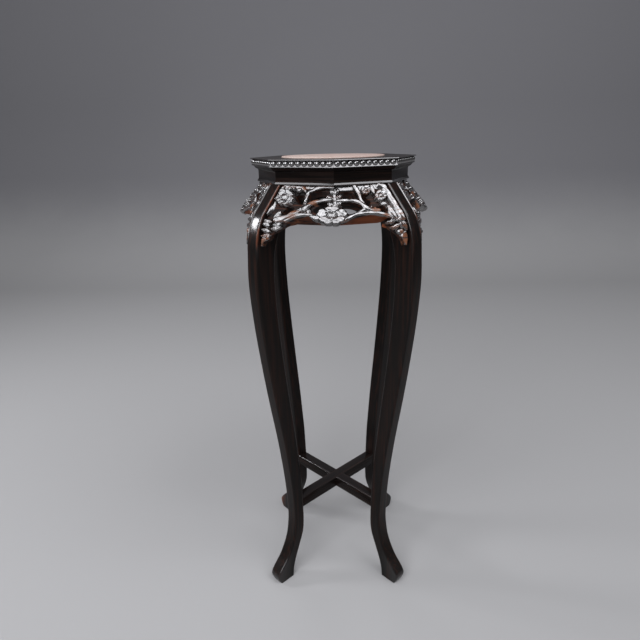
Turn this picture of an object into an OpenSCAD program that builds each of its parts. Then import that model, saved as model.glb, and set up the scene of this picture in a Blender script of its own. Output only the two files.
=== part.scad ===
// Tall eight-sided stand of dark carved hardwood with a round marble panel in its top.
// Four cabriole legs stand on the diagonals, with pierced aprons between them and crossed stretchers below.
// Millimetres, +Z up. The origin is on the floor under the middle of the top, and one corner points to -Y.

/* [Overall] */
// Height from the floor to the top face
stand_h = 914; // [760:1:1000]
// Width of the top across its flats
top_af = 300; // [284:1:340]

/* [Top frame] */
// Thickness of the eight top rails
rail_t = 20; // [19.5:0.5:26]
// Height of the beaded edge
edge_h = 14; // [13:0.5:17]
// How far the foot of the beaded edge lies behind its upper part
edge_low_in = 3; // [1:0.5:4]
// How far the underside of the rail is drawn in below the beaded edge
under_in = 11.5; // [6:0.5:12]
// Beads along each of the eight sides
bead_count = 10; // [6:1:10]
// Diameter of one bead
bead_d = 10.5; // [8:0.5:11]
// How far the beads stand proud of the edge
bead_proud = 0.8; // [0.4:0.1:2]
// Diameter of the marble panel
marble_d = 200; // [180:1:204]
// Thickness of the marble panel
marble_t = 10; // [8:0.5:12]
// How far the marble panel stands proud of the rails
marble_proud = 2; // [0.5:0.5:3]
// Gap around the marble panel in its rabbet
marble_gap = 0.3; // [0.1:0.1:1]
// Width of the ledge that the marble panel rests on
ledge_w = 10; // [8:0.5:14]
// Width of the crossed battens under the marble panel
batten_w = 24; // [18:1:30]
// Height of the crossed battens
batten_h = 12; // [10:1:14]
// How far the battens are let into the rails
batten_let = 6; // [4:0.5:8]

/* [Waist] */
// Height of the waist boards
waist_h = 24; // [20:1:34]
// Thickness of the waist boards
waist_t = 12; // [10:0.5:14]
// How far the waist lies behind the top's edge
waist_in = 14.5; // [13:0.5:18]
// Radius of the cove under the top
cove_r = 3; // [2:0.5:6]
// Height of the square moulding at the foot of the waist
foot_fillet_h = 5; // [3:0.5:6]
// How far that moulding stands proud of the waist
foot_fillet_out = 3; // [2:0.5:4]

/* [Legs] */
// Width of a leg across its front face
leg_w = 28; // [25:0.5:34]
// Reach of the leg past the waist's corner at the shoulder
shoulder_out = 3; // [0:0.5:8]
// Reach of the knee past the waist's corner
knee_out = 65; // [50:1:75]
// Drop of the knee below the shoulder
knee_drop = 168; // [150:1:190]
// Thickness of the leg at the knee
knee_t = 43; // [36:1:50]
// How far the ankle lies inside the waist's corner
ankle_in = 4; // [0:0.5:20]
// Height of the ankle
ankle_z = 160; // [140:1:180]
// Thickness of the leg at the ankle
ankle_t = 25; // [22:0.5:34]
// Reach of the toe past the waist's corner
toe_out = 51; // [40:1:60]
// Height of the toe's furthest point
toe_z = 22; // [16:1:28]
// How far the toe is undercut at the floor
toe_undercut = 7; // [3:0.5:10]
// Length of the sole
sole_l = 37; // [30:1:44]
// Thickness of the post that stands behind the waist
post_t = 28; // [22:1:32]

/* [Aprons] */
// Thickness of an apron, measured level
apron_t = 28; // [24:1:32]
// How far the apron's middle corner lies behind the leg's reach
apron_setback = 10; // [8:0.5:13]
// Drop of the apron's lower edge at its middle corner
apron_mid_drop = 60; // [56:1:66]
// Drop of the apron's lower edge at the top of its arch
apron_arch_drop = 49; // [47:1:54]
// Drop of the leaf point that runs down beside the leg
apron_tip_drop = 104; // [90:1:120]
// Depth of the rows of pierced openings below the waist, upper row
pierce_upper_drop = 16.5; // [15:0.5:20]
// Depth of the lower row of pierced openings
pierce_lower_drop = 35.5; // [33:0.5:38]

/* [Blossoms] */
// Width of the blossom over the middle corner
blossom_w = 54; // [44:1:60]
// Height of the blossom
blossom_h = 38; // [32:1:44]
// Diameter of one petal
petal_d = 20; // [17:0.5:24]
// How far a petal stands out from the apron's face
petal_out = 5.5; // [4:0.5:8]
// Drop of the blossom's middle below the waist
blossom_drop = 46; // [42:1:50]

/* [Stretchers] */
// Width of the crossed stretchers
stretcher_w = 24; // [18:1:26]
// Height of the crossed stretchers
stretcher_h = 24; // [18:1:30]
// Height of the stretchers' top face above the floor
stretcher_top = 190; // [175:1:210]

/* [Joints] */
// Glue gap in mortises, grooves and laps
glue_gap = 0.1; // [0.05:0.05:0.3]
// Thickness of the tenons
tenon_t = 10; // [8:0.5:12]
// Length of the apron and stretcher tenons
tenon_l = 9; // [6:0.5:11]
// Height of the leg's tenon in the top frame
leg_tenon_h = 8; // [5:0.5:8]
// Width of the loose splines across the mitres, along the edge
spline_w = 24; // [16:1:30]
// Thickness of the loose splines
spline_t = 5; // [4:0.5:6]
// Depth of the loose splines' upper face below the top
spline_cover = 6; // [5:0.5:6]
// Thickness and height of the tongue on the waist's upper edge
tongue = 4; // [3:0.5:5]

/* [Hidden] */
$fn = 48;

wood = "#2c1f1a";
carved_wood = "#3a231a";
marble = "#cdb4a6";

// Plan of the octagon: half the angle of one side, and the turn of side 1 from the +X axis
half_turn = 22.5;
first_side = -67.5;
first_corner = -90;
first_leg = -45;
cos_h = cos(half_turn);
sin_h = sin(half_turn);
tan_h = tan(half_turn);
far = 2 * top_af;

// Plan of the aprons: the turn of each half from square to its middle corner, and of the leg from that half
apron_turn = 18.5;
leg_turn = 45 - apron_turn;

// Levels and radii
rail_top = stand_h - marble_proud;
rail_z = rail_top - rail_t;
waist_z = rail_z - waist_h;
edge_a = top_af / 2;
waist_a = edge_a - waist_in;
waist_corner = waist_a / cos_h;
ledge_r = marble_d / 2 - ledge_w;
marble_z = stand_h - marble_t;
groove_h = bead_d + 1;
tongue_a = waist_a - waist_t / 2;
post_out = (waist_a - waist_t - leg_w / 2 * sin_h) / cos_h - glue_gap;
post_in = post_out - post_t;
stretcher_z = stretcher_top - stretcher_h;

// Points on the way from station a to station b, given as shares of the way up and of the way out
function between(a, b, shares) =
    [for (s = shares) [a[0] + (b[0] - a[0]) * s[0], a[1] + (b[1] - a[1]) * s[1]]];

// Slope of a list of points at point i, taken from the points on each side of it
function slope(p, i) =
    let (lo = max(i - 1, 0), hi = min(i + 1, len(p) - 1)) (p[hi][1] - p[lo][1]) / (p[hi][0] - p[lo][0]);

// Reach at height z of a smooth curve through the points p, which rise in height
function reach(p, z) =
    let (
        below = len([for (q = p) if (q[0] <= z) 1]),
        i = max(0, min(len(p) - 2, below - 1)),
        h = p[i + 1][0] - p[i][0],
        t = (z - p[i][0]) / h
    )
    p[i][1] * (1 + 2 * t) * (1 - t) * (1 - t) + slope(p, i) * h * t * (1 - t) * (1 - t)
    + p[i + 1][1] * t * t * (3 - 2 * t) + slope(p, i + 1) * h * t * t * (t - 1);

// The leg's stations as [height, distance from the middle of the stand]
toe = [toe_z, waist_corner + toe_out];
ankle = [ankle_z, waist_corner - ankle_in];
knee = [waist_z - knee_drop, waist_corner + knee_out];
shoulder = [waist_z, waist_corner + shoulder_out];
heel = [0, toe[1] - toe_undercut - sole_l];
ankle_back = [ankle_z, ankle[1] - ankle_t];
knee_back = [knee[0], knee[1] - knee_t];
shoulder_back = [waist_z, post_in];

leg_front = concat(
    [[0, toe[1] - toe_undercut]],
    between([0, toe[1] - toe_undercut], toe, [[0.5, 0.75]]),
    [toe],
    between(toe, ankle, [[0.08, 0.12], [0.25, 0.5], [0.5, 0.83], [0.75, 0.97]]),
    [ankle],
    between(ankle, knee, [[0.14, 0.07], [0.33, 0.27], [0.55, 0.57], [0.76, 0.82], [0.89, 0.94]]),
    [knee],
    between(knee, shoulder, [[0.33, 0.04], [0.5, 0.11], [0.6, 0.2], [0.7, 0.33], [0.8, 0.55]]),
    [shoulder]
);
leg_back = concat(
    [heel],
    between(heel, ankle_back,
        [[0.13, 0.06], [0.27, 0.24], [0.39, 0.46], [0.5, 0.66], [0.61, 0.86], [0.74, 0.98]]),
    [ankle_back],
    between(ankle_back, knee_back,
        [[0.17, 0.08], [0.28, 0.2], [0.38, 0.32], [0.53, 0.53], [0.68, 0.73], [0.85, 0.92]]),
    [knee_back],
    between(knee_back, shoulder_back, [[0.3, 0.05], [0.5, 0.2], [0.7, 0.52], [0.85, 0.83]]),
    [shoulder_back]
);
leg_steps = 44;

// Distance of the apron's face from the middle of the stand at height z, square to the half
function apron_a(z) = cos(apron_turn) * (reach(leg_front, z) - apron_setback);

// Distance out along the leg at which a plane, given by its distance square to the half, meets the leg's side
function at_leg(a) = (a - leg_w / 2 * sin(leg_turn)) / cos(leg_turn);

// Lean of the apron's face from upright, between its top and the middle of its lower edge
apron_low = waist_z - 1.04 * apron_tip_drop;
apron_lean = atan((apron_a(waist_z - apron_mid_drop) - apron_a(waist_z)) / apron_mid_drop);
apron_step = apron_tip_drop / 15;
apron_levels = [for (z = [apron_low : apron_step : waist_z - apron_step / 2]) z];

// Distance along the leaning face of a level that lies drop below the waist
function along_face(drop) =
    let (z = waist_z - drop) z * cos(apron_lean) - apron_a(z) * sin(apron_lean);

// Tenon of the apron in the leg's side, as the distance of its middle from the stand's middle
apron_tenon_drop = 0.35 * apron_tip_drop;
apron_tenon_h = 0.19 * apron_tip_drop;
apron_tenon_r = at_leg(apron_a(waist_z - apron_tenon_drop) - apron_t / 2);

// Puts its children on side k of the octagon, with +X outwards and +Y along the side
module on_side(k) { rotate([0, 0, first_side + 45 * k]) children(); }

// Turns odd sides round, so that every side is drawn with its leg at the +Y end
module leg_at_end(k) { mirror([0, k % 2, 0]) children(); }

// The space between the two mitres of a side
module mitre_space() {
    linear_extrude(2 * stand_h) polygon([[0, 0], [far, -far * tan_h], [far, far * tan_h]]);
}

// A straight member of one side with the given section, as [distance out, height] points
module side_member(section) {
    intersection() {
        rotate([90, 0, 0]) linear_extrude(far, center = true) polygon(section);
        mitre_space();
    }
}

// A box that runs out along +X from r0 to r1, centred across, from z0 to z1
module radial_box(r0, r1, width, z0, z1) {
    translate([r0, -width / 2, z0]) cube([r1 - r0, width, z1 - z0]);
}

// The spline across a mitre, drawn on the +X axis, with its gap all round
rabbet_wall = spline_w / 2;
spline_r0 = marble_d / 2 + marble_gap + rabbet_wall;
spline_r1 = edge_a - bead_d;
module spline(gap) {
    z1 = rail_top - spline_cover;
    radial_box(spline_r0 - gap, spline_r1 + gap, spline_w + 2 * gap, z1 - spline_t - gap, z1 + gap);
}

// The leg's tenon in the top frame, drawn on the +X axis
module leg_tenon(gap) {
    inset = post_t / 7;
    r0 = post_in + inset - gap;
    r1 = post_out - inset + gap;
    radial_box(r0, r1, tenon_t + 2 * gap, rail_z - 1, rail_z + leg_tenon_h + gap);
}

module batten_blank(gap) {
    reach_out = ledge_r + batten_let + gap;
    radial_box(-reach_out, reach_out, batten_w + 2 * gap, marble_z - batten_h - gap, marble_z);
}

module top_rail(k) {
    groove_low = rail_top - (edge_h + groove_h) / 2;
    low_a = edge_a - edge_low_in;
    groove_a = edge_a - bead_d / 2;
    bead_a = edge_a - bead_d / 2 + bead_proud;
    pitch = 2 * bead_a * tan_h / bead_count;
    color(wood) on_side(k) leg_at_end(k) difference() {
        union() {
            side_member([
                [ledge_r / 2, rail_z], [edge_a - under_in, rail_z], [low_a, rail_top - edge_h],
                [low_a, groove_low], [groove_a, groove_low], [groove_a, groove_low + groove_h],
                [edge_a, groove_low + groove_h], [edge_a, rail_top], [ledge_r / 2, rail_top],
            ]);
            for (i = [0 : bead_count - 1]) let (y = (i - (bead_count - 1) / 2) * pitch)
                translate([bead_a, y, rail_top - edge_h / 2]) sphere(d = bead_d);
        }
        translate([0, 0, rail_z - 1]) cylinder(r = ledge_r, h = rail_t + 2, $fn = 96);
        translate([0, 0, marble_z]) cylinder(r = marble_d / 2 + marble_gap, h = marble_t + 1, $fn = 96);
        for (turn = [-half_turn, half_turn]) rotate([0, 0, turn]) spline(glue_gap);
        rotate([0, 0, half_turn]) leg_tenon(glue_gap);
        translate([tongue_a - tongue / 2 - glue_gap, -far / 2, rail_z - 1])
            cube([tongue + 2 * glue_gap, far, tongue + glue_gap + 1]);
        if (k % 2 == 0) batten_blank(glue_gap);
    }
}

module rail_splines() {
    color(carved_wood) for (k = [0 : 7]) rotate([0, 0, first_corner + 45 * k]) spline(0);
}

module marble_panel() {
    color(marble) translate([0, 0, marble_z]) cylinder(d = marble_d, h = marble_t, $fn = 96);
}

// One of the two crossed battens: the lower one is notched from above and the upper one from below
module batten(k, notch_low) {
    middle = marble_z - batten_h / 2;
    color(carved_wood) on_side(k) difference() {
        batten_blank(0);
        radial_box(-batten_w / 2 - glue_gap, batten_w / 2 + glue_gap, 2 * batten_w,
            notch_low ? marble_z - batten_h - 1 : middle, notch_low ? middle : marble_z + 1);
    }
}

module waist_board(k) {
    fillet_a = waist_a + foot_fillet_out;
    fillet_z = waist_z + foot_fillet_h;
    arc_steps = 8;
    color(wood) on_side(k) {
        side_member(concat(
            [[waist_a - waist_t, waist_z], [fillet_a, waist_z], [fillet_a, fillet_z]],
            [[waist_a, fillet_z + foot_fillet_out / 2]],
            [for (i = [0 : arc_steps]) let (turn = 180 - 90 * i / arc_steps)
                [waist_a + cove_r + cove_r * cos(turn), rail_z - cove_r + cove_r * sin(turn)]],
            [[tongue_a + tongue / 2, rail_z], [tongue_a + tongue / 2, rail_z + tongue]],
            [[tongue_a - tongue / 2, rail_z + tongue], [tongue_a - tongue / 2, rail_z]],
            [[waist_a - waist_t, rail_z]]
        ));
    }
}

// The solid behind the apron's face, level by level, with its back depth in from the face
module apron_body(depth) {
    levels = concat(apron_levels, [waist_z]);
    front = [for (z = levels) [apron_a(z), z]];
    back = [for (i = [len(levels) - 1 : -1 : 0]) [apron_a(levels[i]) - depth, levels[i]]];
    rotate([90, 0, 0]) linear_extrude(far, center = true) polygon(concat(front, back));
}

// A prism square to the leaning face, from an outline of [distance from the middle corner, drop] points
module face_prism() {
    middle = waist_z - apron_arch_drop;
    rotate([0, -apron_lean, 0])
        translate([apron_a(middle) * cos(apron_lean) + middle * sin(apron_lean), 0, 0])
            rotate([90, 0, 90]) linear_extrude(far / 2, center = true) children();
}

// Turns a place on the face into the prism's own plane
apron_mid_y = -apron_a(waist_z - apron_arch_drop) * tan(apron_turn);
function on_face(s, drop) = [s + apron_mid_y, along_face(drop)];

// Length of the face from the middle corner to the leg, at the leaf point
apron_run = apron_a(waist_z - apron_tip_drop) * tan(apron_turn)
    + at_leg(apron_a(waist_z - apron_tip_drop)) * sin(leg_turn) - leg_w / 2 * cos(leg_turn);

// Drop of the lower edge, from 0 at the top of the arch through 1 at the middle corner to 2 at the leaf point
function edge_drop(u) = u < 1 ? apron_arch_drop + u * (apron_mid_drop - apron_arch_drop)
    : apron_mid_drop + (u - 1) * (apron_tip_drop - apron_mid_drop);

// Lower edge of half an apron as [share of the run, drop]: a low arch, then a leaf point down beside the leg
arch_edge = [
    [-0.4, 1], [0.09, 1], [0.18, 0.8], [0.26, 0.35], [0.35, 0], [0.46, 0], [0.54, 0.3], [0.6, 1.05],
    [0.67, 1.25], [0.77, 1.45], [0.87, 1.75], [0.94, 2], [1.3, 2.05],
];

// Pierced openings as [share of the run, drop, length between end circles, end radius, turn]
// The length and the radius are shares of the run too
openings = [
    [0.185, pierce_upper_drop, 0.145, 0.04, 6],
    [0.42, (2 * pierce_upper_drop + pierce_lower_drop) / 3, 0.03, 0.06, 70],
    [0.22, pierce_lower_drop, 0.11, 0.05, -10],
    [0.615, 1.2 * pierce_lower_drop, 0.08, 0.042, 35],
];

module opening(o) {
    length = o[2] * apron_run;
    r = o[3] * apron_run;
    translate(on_face(o[0] * apron_run, o[1])) rotate(o[4]) {
        square([length, 2 * r], center = true);
        for (x = [-0.5, 0.5]) translate([x * length, 0]) circle(r = r, $fn = 24);
    }
}

// The apron's tenon in the leg, drawn with the leg on the +X axis and the apron on its -Y side
module apron_tenon(gap) {
    z = waist_z - apron_tenon_drop - apron_tenon_h / 2;
    translate([apron_tenon_r - tenon_t / 2 - gap, -leg_w / 2 - 1, z - gap])
        cube([tenon_t + 2 * gap, tenon_l + 1 + gap, apron_tenon_h + 2 * gap]);
}

// Puts its children on apron half k, with +X outwards and +Y along the half
module on_half(k) {
    corner = floor((k + 1) / 2);
    rotate([0, 0, first_corner + 90 * corner + (k % 2 == 0 ? apron_turn : -apron_turn)]) children();
}

module apron(k) {
    above = along_face(0) + apron_mid_drop;
    first = arch_edge[0][0];
    last = arch_edge[len(arch_edge) - 1][0];
    color(carved_wood) on_half(k) leg_at_end(k) {
        difference() {
            intersection() {
                apron_body(apron_t);
                face_prism() difference() {
                    polygon(concat(
                        [for (p = arch_edge) on_face(p[0] * apron_run, edge_drop(p[1]))],
                        [[last * apron_run + apron_mid_y, above], [first * apron_run + apron_mid_y, above]]
                    ));
                    for (o = openings) opening(o);
                }
            }
            rotate([0, 0, -apron_turn]) translate([0, -far, 0]) cube([far, far, 2 * stand_h]);
            rotate([0, 0, leg_turn]) translate([0, -leg_w / 2, 0]) cube([far, far, 2 * stand_h]);
        }
        rotate([0, 0, leg_turn]) intersection() {
            apron_tenon(0);
            translate([0, -leg_w / 2, 0]) cube([far, far, 2 * stand_h]);
        }
    }
}

// A petal is the cap of a ball, petal_d wide where it meets the face
module petal() {
    ball = (petal_d * petal_d / 4 + petal_out * petal_out) / (2 * petal_out);
    translate([petal_out - ball, 0, 0]) sphere(r = ball);
}

// Puts its children on the apron's faces near the middle corner, y to the side and drop below the waist
module on_corner(y, drop) {
    turn_over = 0.4 * petal_d;
    z = waist_z - drop;
    translate([apron_a(z) / cos(apron_turn) - abs(y) * tan(apron_turn), y, z])
        rotate([0, 0, apron_turn * max(-1, min(1, y / turn_over))]) rotate([0, -apron_lean, 0]) children();
}

module blossom(corner) {
    petals = 5;
    ring_y = (blossom_w - petal_d) / 2;
    ring_z = (blossom_h - petal_d) / 2 * cos(apron_lean);
    heart_d = 0.6 * petal_d;
    color(carved_wood) rotate([0, 0, first_corner + 90 * corner]) difference() {
        union() {
            for (i = [0 : petals - 1]) let (turn = 90 + 360 / petals * i)
                on_corner(ring_y * cos(turn), blossom_drop - ring_z * sin(turn)) petal();
            on_corner(0, blossom_drop) sphere(d = heart_d);
        }
        intersection() {
            rotate([0, 0, apron_turn]) apron_body(4 * apron_t);
            rotate([0, 0, -apron_turn]) apron_body(4 * apron_t);
        }
    }
}

// The leg's side view, from the sole up the front to the post and down the back
module leg_side_view() {
    levels = [for (i = [0 : leg_steps]) waist_z * i / leg_steps];
    toe_levels = [toe_z * 0.25, toe_z * 0.5, toe_z * 0.8, toe_z * 1.25];
    low = [for (z = levels) if (z > toe_z * 1.4) z];
    polygon(concat(
        [[reach(leg_front, 0), 0]],
        [for (z = toe_levels) [reach(leg_front, z), z]],
        [for (z = low) [reach(leg_front, z), z]],
        [[post_out, waist_z], [post_out, rail_z], [post_in, rail_z]],
        [for (i = [leg_steps : -1 : 0]) [reach(leg_back, levels[i]), levels[i]]]
    ));
}

module leg_blank(width) {
    rotate([90, 0, 0]) linear_extrude(width, center = true) leg_side_view();
}

// The stretcher's tenon in the leg, drawn on the +X axis
module stretcher_tenon(gap) {
    middle = stretcher_z + stretcher_h / 2;
    r = reach(leg_back, middle);
    radial_box(r - stretcher_w, r + tenon_l + gap, tenon_t + 2 * gap,
        middle - stretcher_h / 3 - gap, middle + stretcher_h / 3 + gap);
}

module leg(turn) {
    color(wood) rotate([0, 0, first_leg + 90 * turn]) difference() {
        union() {
            leg_blank(leg_w);
            intersection() {
                leg_tenon(0);
                translate([0, -far / 2, rail_z]) cube([far, far, rail_t]);
            }
        }
        stretcher_tenon(glue_gap);
        for (side = [0, 1]) mirror([0, side, 0]) apron_tenon(glue_gap);
    }
}

// One of the two crossed stretchers: the lower one is notched from above and the upper one from below
module stretcher(turn, notch_low) {
    middle = stretcher_z + stretcher_h / 2;
    reach_out = reach(leg_back, middle) + tenon_l;
    color(wood) rotate([0, 0, first_leg + 90 * turn]) difference() {
        union() {
            difference() {
                radial_box(-reach_out, reach_out, stretcher_w, stretcher_z, stretcher_top);
                for (side = [0, 180]) rotate([0, 0, side]) leg_blank(2 * leg_w);
            }
            for (side = [0, 180]) rotate([0, 0, side]) stretcher_tenon(0);
        }
        radial_box(-stretcher_w / 2 - glue_gap, stretcher_w / 2 + glue_gap, 2 * stretcher_w,
            notch_low ? stretcher_z - 1 : middle, notch_low ? middle : stretcher_top + 1);
    }
}

corner_names = ["front", "right", "back", "left"];
leg_names = ["front_right", "back_right", "back_left", "front_left"];

for (k = [0 : 7]) top_rail(k);
rail_splines();
marble_panel();
batten(0, false);  // batten_lower
batten(2, true);  // batten_upper
for (k = [0 : 7]) waist_board(k);
for (k = [0 : 7]) apron(k);
for (i = [0 : 3]) blossom(i);
for (i = [0 : 3]) leg(i);
stretcher(0, false);  // stretcher_lower
stretcher(1, true);  // stretcher_upper
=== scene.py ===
"""Dresses a tall carved stand: beaded octagonal top, marble panel, coved waist, pierced aprons, curved legs.

Shapes are worked out in millimetres in the frame's own axes, and turned into metres when a mesh is made.
"""

import logging
import math
from dataclasses import dataclass, field
from enum import Enum
from typing import Callable, Sequence

import bpy
import numpy as np
from mathutils import Matrix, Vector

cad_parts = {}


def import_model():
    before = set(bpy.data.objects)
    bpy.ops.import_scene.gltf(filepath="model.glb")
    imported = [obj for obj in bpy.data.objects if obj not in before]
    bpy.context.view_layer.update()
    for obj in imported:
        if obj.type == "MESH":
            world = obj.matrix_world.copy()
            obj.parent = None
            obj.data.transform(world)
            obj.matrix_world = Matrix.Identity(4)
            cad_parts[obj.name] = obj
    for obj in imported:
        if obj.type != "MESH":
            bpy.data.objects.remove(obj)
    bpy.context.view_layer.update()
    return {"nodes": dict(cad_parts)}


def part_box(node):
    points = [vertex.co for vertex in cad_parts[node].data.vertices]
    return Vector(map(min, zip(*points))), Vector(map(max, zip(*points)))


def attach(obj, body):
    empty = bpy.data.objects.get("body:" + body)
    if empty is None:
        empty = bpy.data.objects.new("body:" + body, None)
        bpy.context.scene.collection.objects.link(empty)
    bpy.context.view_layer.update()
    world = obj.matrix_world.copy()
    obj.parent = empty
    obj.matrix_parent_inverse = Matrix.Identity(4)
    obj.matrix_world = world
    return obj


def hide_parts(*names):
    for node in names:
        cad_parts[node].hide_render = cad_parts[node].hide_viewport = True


LOG = logging.getLogger("stand")
Array = np.ndarray
Triple = tuple[float, float, float]
Colour = Triple
Pairs = Sequence[tuple[float, float]]

MM = 0.001
TINY = 1e-6
BODY = "root"

# Plan of the octagon: half the angle of one side, and the turns of the first side, corner and leg
SIDES = 8
HALF_TURN = math.radians(22.5)
FIRST_SIDE = math.radians(-67.5)
FIRST_CORNER = math.radians(-90.0)
FIRST_LEG = math.radians(-45.0)
QUARTER = math.radians(90.0)
COS_H = math.cos(HALF_TURN)
SIN_H = math.sin(HALF_TURN)
TAN_H = math.tan(HALF_TURN)

# Plan of the aprons: the turn of each half from square to its middle corner, and of the leg from that half
APRON_TURN = math.radians(18.5)
LEG_TURN = math.radians(45.0) - APRON_TURN

# Edges past this angle, in degrees, are shaded as sharp ones, on plain pieces and on carved ones
PLAIN_SHARP = 38.0
CARVED_SHARP = 48.0

# How far the grain of a turned copy is moved along, in millimetres for each radian
GRAIN_SHIFT = 300.0


class Slot(Enum):
    """The record's material slots."""

    LACQUER = "lacquered_wood"
    CARVED = "carved_wood"
    MARBLE = "marble"


class Half(Enum):
    """Which half of an apron a carving fills, seen from outside, with the sign of its run along the side."""

    RIGHT = 1
    LEFT = -1


@dataclass
class Shape:
    """A closed mesh in millimetres, with what its finish reads.

    Attributes:
        points: Places of the corners, n by 3.
        faces: Arrays of corner numbers, one array for each count of corners in a face.
        grain: Place along, across and into the wood of each corner, n by 3.
        wear: How rubbed the finish is at each corner, from 0 where it is sound to 1 and a little more.
        raw: How thin the finish is on each face, from 0 to 1, in the order of faces.
    """

    points: Array
    faces: list[Array]
    grain: Array
    wear: Array
    raw: Array

    @classmethod
    def plain(cls, points: Array, faces: list[Array], grain: Array | None = None) -> "Shape":
        """Makes a shape with an even finish.

        Args:
            points: Places of the corners.
            faces: Arrays of corner numbers.
            grain: Place of each corner in the wood, or None for the corner's own place.

        Returns:
            The shape, turned so that its faces point outwards.
        """
        count = sum(len(f) for f in faces)
        grain = points.copy() if grain is None else grain
        return cls(points, faces, grain, np.zeros(len(points)), np.zeros(count)).outward()

    def outward(self) -> "Shape":
        """Turns the faces round if the volume that they enclose, summed over fans of triangles, is negative.

        Returns:
            The same shape.
        """
        volume = 0.0
        for corners in self.faces:
            first = self.points[corners[:, 0]]
            for k in range(1, corners.shape[1] - 1):
                cross = np.cross(self.points[corners[:, k]], self.points[corners[:, k + 1]])
                volume += float((first * cross).sum())
        if volume < 0.0:
            self.faces = [corners[:, ::-1] for corners in self.faces]
        return self

    def turned(self, angle: float) -> "Shape":
        """Gives a copy turned about the stand's upright axis.

        Args:
            angle: Turn in radians.

        Returns:
            The turned copy, with its grain moved along.
        """
        c, s = math.cos(angle), math.sin(angle)
        x, y, z = self.points.T
        points = np.stack([x * c - y * s, x * s + y * c, z], axis=1)
        return Shape(points, self.faces, self.grain + GRAIN_SHIFT * angle, self.wear, self.raw)


def joined(shapes: Sequence[Shape]) -> Shape:
    """Puts several closed shapes into one.

    Args:
        shapes: The shapes.

    Returns:
        One shape that holds them all.
    """
    starts = np.cumsum([0] + [len(s.points) for s in shapes[:-1]])
    faces = [corners + start for s, start in zip(shapes, starts) for corners in s.faces]
    return Shape(
        np.concatenate([s.points for s in shapes]),
        faces,
        np.concatenate([s.grain for s in shapes]),
        np.concatenate([s.wear for s in shapes]),
        np.concatenate([s.raw for s in shapes]),
    )


def make_piece(name: str, shape: Shape, material: bpy.types.Material, slot: Slot, *nodes: str,
               sharp: float = PLAIN_SHARP) -> bpy.types.Object:
    """Turns a shape into a piece of the stand that stands for some of the frame's nodes.

    Args:
        name: Name of the piece.
        shape: Its mesh in millimetres.
        material: Its finish.
        slot: The record's slot of that finish; not used.
        nodes: Names of the nodes that it replaces.
        sharp: Angle in degrees past which an edge is shaded as a sharp one.

    Returns:
        The piece.
    """
    mesh = bpy.data.meshes.new(name)
    sizes = np.concatenate([np.full(len(c), c.shape[1]) for c in shape.faces])
    mesh.vertices.add(len(shape.points))
    mesh.vertices.foreach_set("co", (shape.points * MM).ravel())
    mesh.loops.add(int(sizes.sum()))
    mesh.loops.foreach_set("vertex_index", np.concatenate([c.ravel() for c in shape.faces]).astype(np.int32))
    mesh.polygons.add(len(sizes))
    mesh.polygons.foreach_set("loop_start", (np.cumsum(sizes) - sizes).astype(np.int32))
    mesh.update(calc_edges=True)
    grain = mesh.attributes.new("grain", "FLOAT_VECTOR", "POINT")
    grain.data.foreach_set("vector", (shape.grain * MM).ravel())
    wear = mesh.attributes.new("wear", "FLOAT", "POINT")
    wear.data.foreach_set("value", shape.wear)
    raw = mesh.attributes.new("raw", "FLOAT", "FACE")
    raw.data.foreach_set("value", shape.raw)
    mesh.validate()
    mesh.shade_smooth()
    mesh.set_sharp_from_angle(angle=math.radians(sharp))
    mesh.materials.append(material)
    piece = bpy.data.objects.new(name, mesh)
    bpy.context.scene.collection.objects.link(piece)
    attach(piece, BODY)
    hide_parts(*nodes)
    LOG.info("%s: %d corners, %d faces", name, len(shape.points), len(sizes))
    return piece


def ring_faces(rings: int, around: int) -> Array:
    """Gives the four-cornered faces between closed rings that follow each other.

    Args:
        rings: Count of rings.
        around: Count of corners in each ring.

    Returns:
        Corner numbers, one row for each face.
    """
    i, j = np.meshgrid(np.arange(rings - 1), np.arange(around), indexing="ij")
    k = (j + 1) % around
    quads = np.stack([i * around + j, i * around + k, (i + 1) * around + k, (i + 1) * around + j], axis=-1)
    return quads.reshape(-1, 4)


def loft(rings: Array, grain: Array | None = None) -> Shape:
    """Carries a closed section through a row of rings and closes both ends with one face each.

    Args:
        rings: Places, ring by ring, n by m by 3.
        grain: Place in the wood of each corner, or None for its own place.

    Returns:
        The closed shape.
    """
    count, around = rings.shape[:2]
    first = np.arange(around)[None, ::-1]
    last = (count - 1) * around + np.arange(around)[None, :]
    flat = None if grain is None else grain.reshape(-1, 3)
    return Shape.plain(rings.reshape(-1, 3), [ring_faces(count, around), first, last], flat)


def balls(centres: Array, radius: float, rows: int = 13, columns: int = 20) -> list[Shape]:
    """Makes balls: rings of latitude between two poles.

    Args:
        centres: Places of the middles, n by 3.
        radius: Radius of every ball.
        rows: Rings between the poles.
        columns: Corners in each ring.

    Returns:
        One shape for each centre.
    """
    tilt = np.pi * np.arange(1, rows + 1) / (rows + 1)
    turn = 2.0 * np.pi * np.arange(columns) / columns
    wide, high = np.sin(tilt)[:, None], np.cos(tilt)[:, None]
    rings = np.stack(np.broadcast_arrays(wide * np.cos(turn), wide * np.sin(turn), high), axis=-1)
    ball = np.concatenate([rings.reshape(-1, 3), [[0.0, 0.0, 1.0], [0.0, 0.0, -1.0]]]) * radius
    j = np.arange(columns)
    k = (j + 1) % columns
    top, low = rows * columns, rows * columns + 1
    base = (rows - 1) * columns
    cap = np.stack([np.full(columns, top), k, j], axis=1)
    foot = np.stack([np.full(columns, low), base + j, base + k], axis=1)
    fans = np.concatenate([cap, foot])
    return [Shape.plain(ball + centre, [ring_faces(rows, columns), fans]) for centre in centres]


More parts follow.
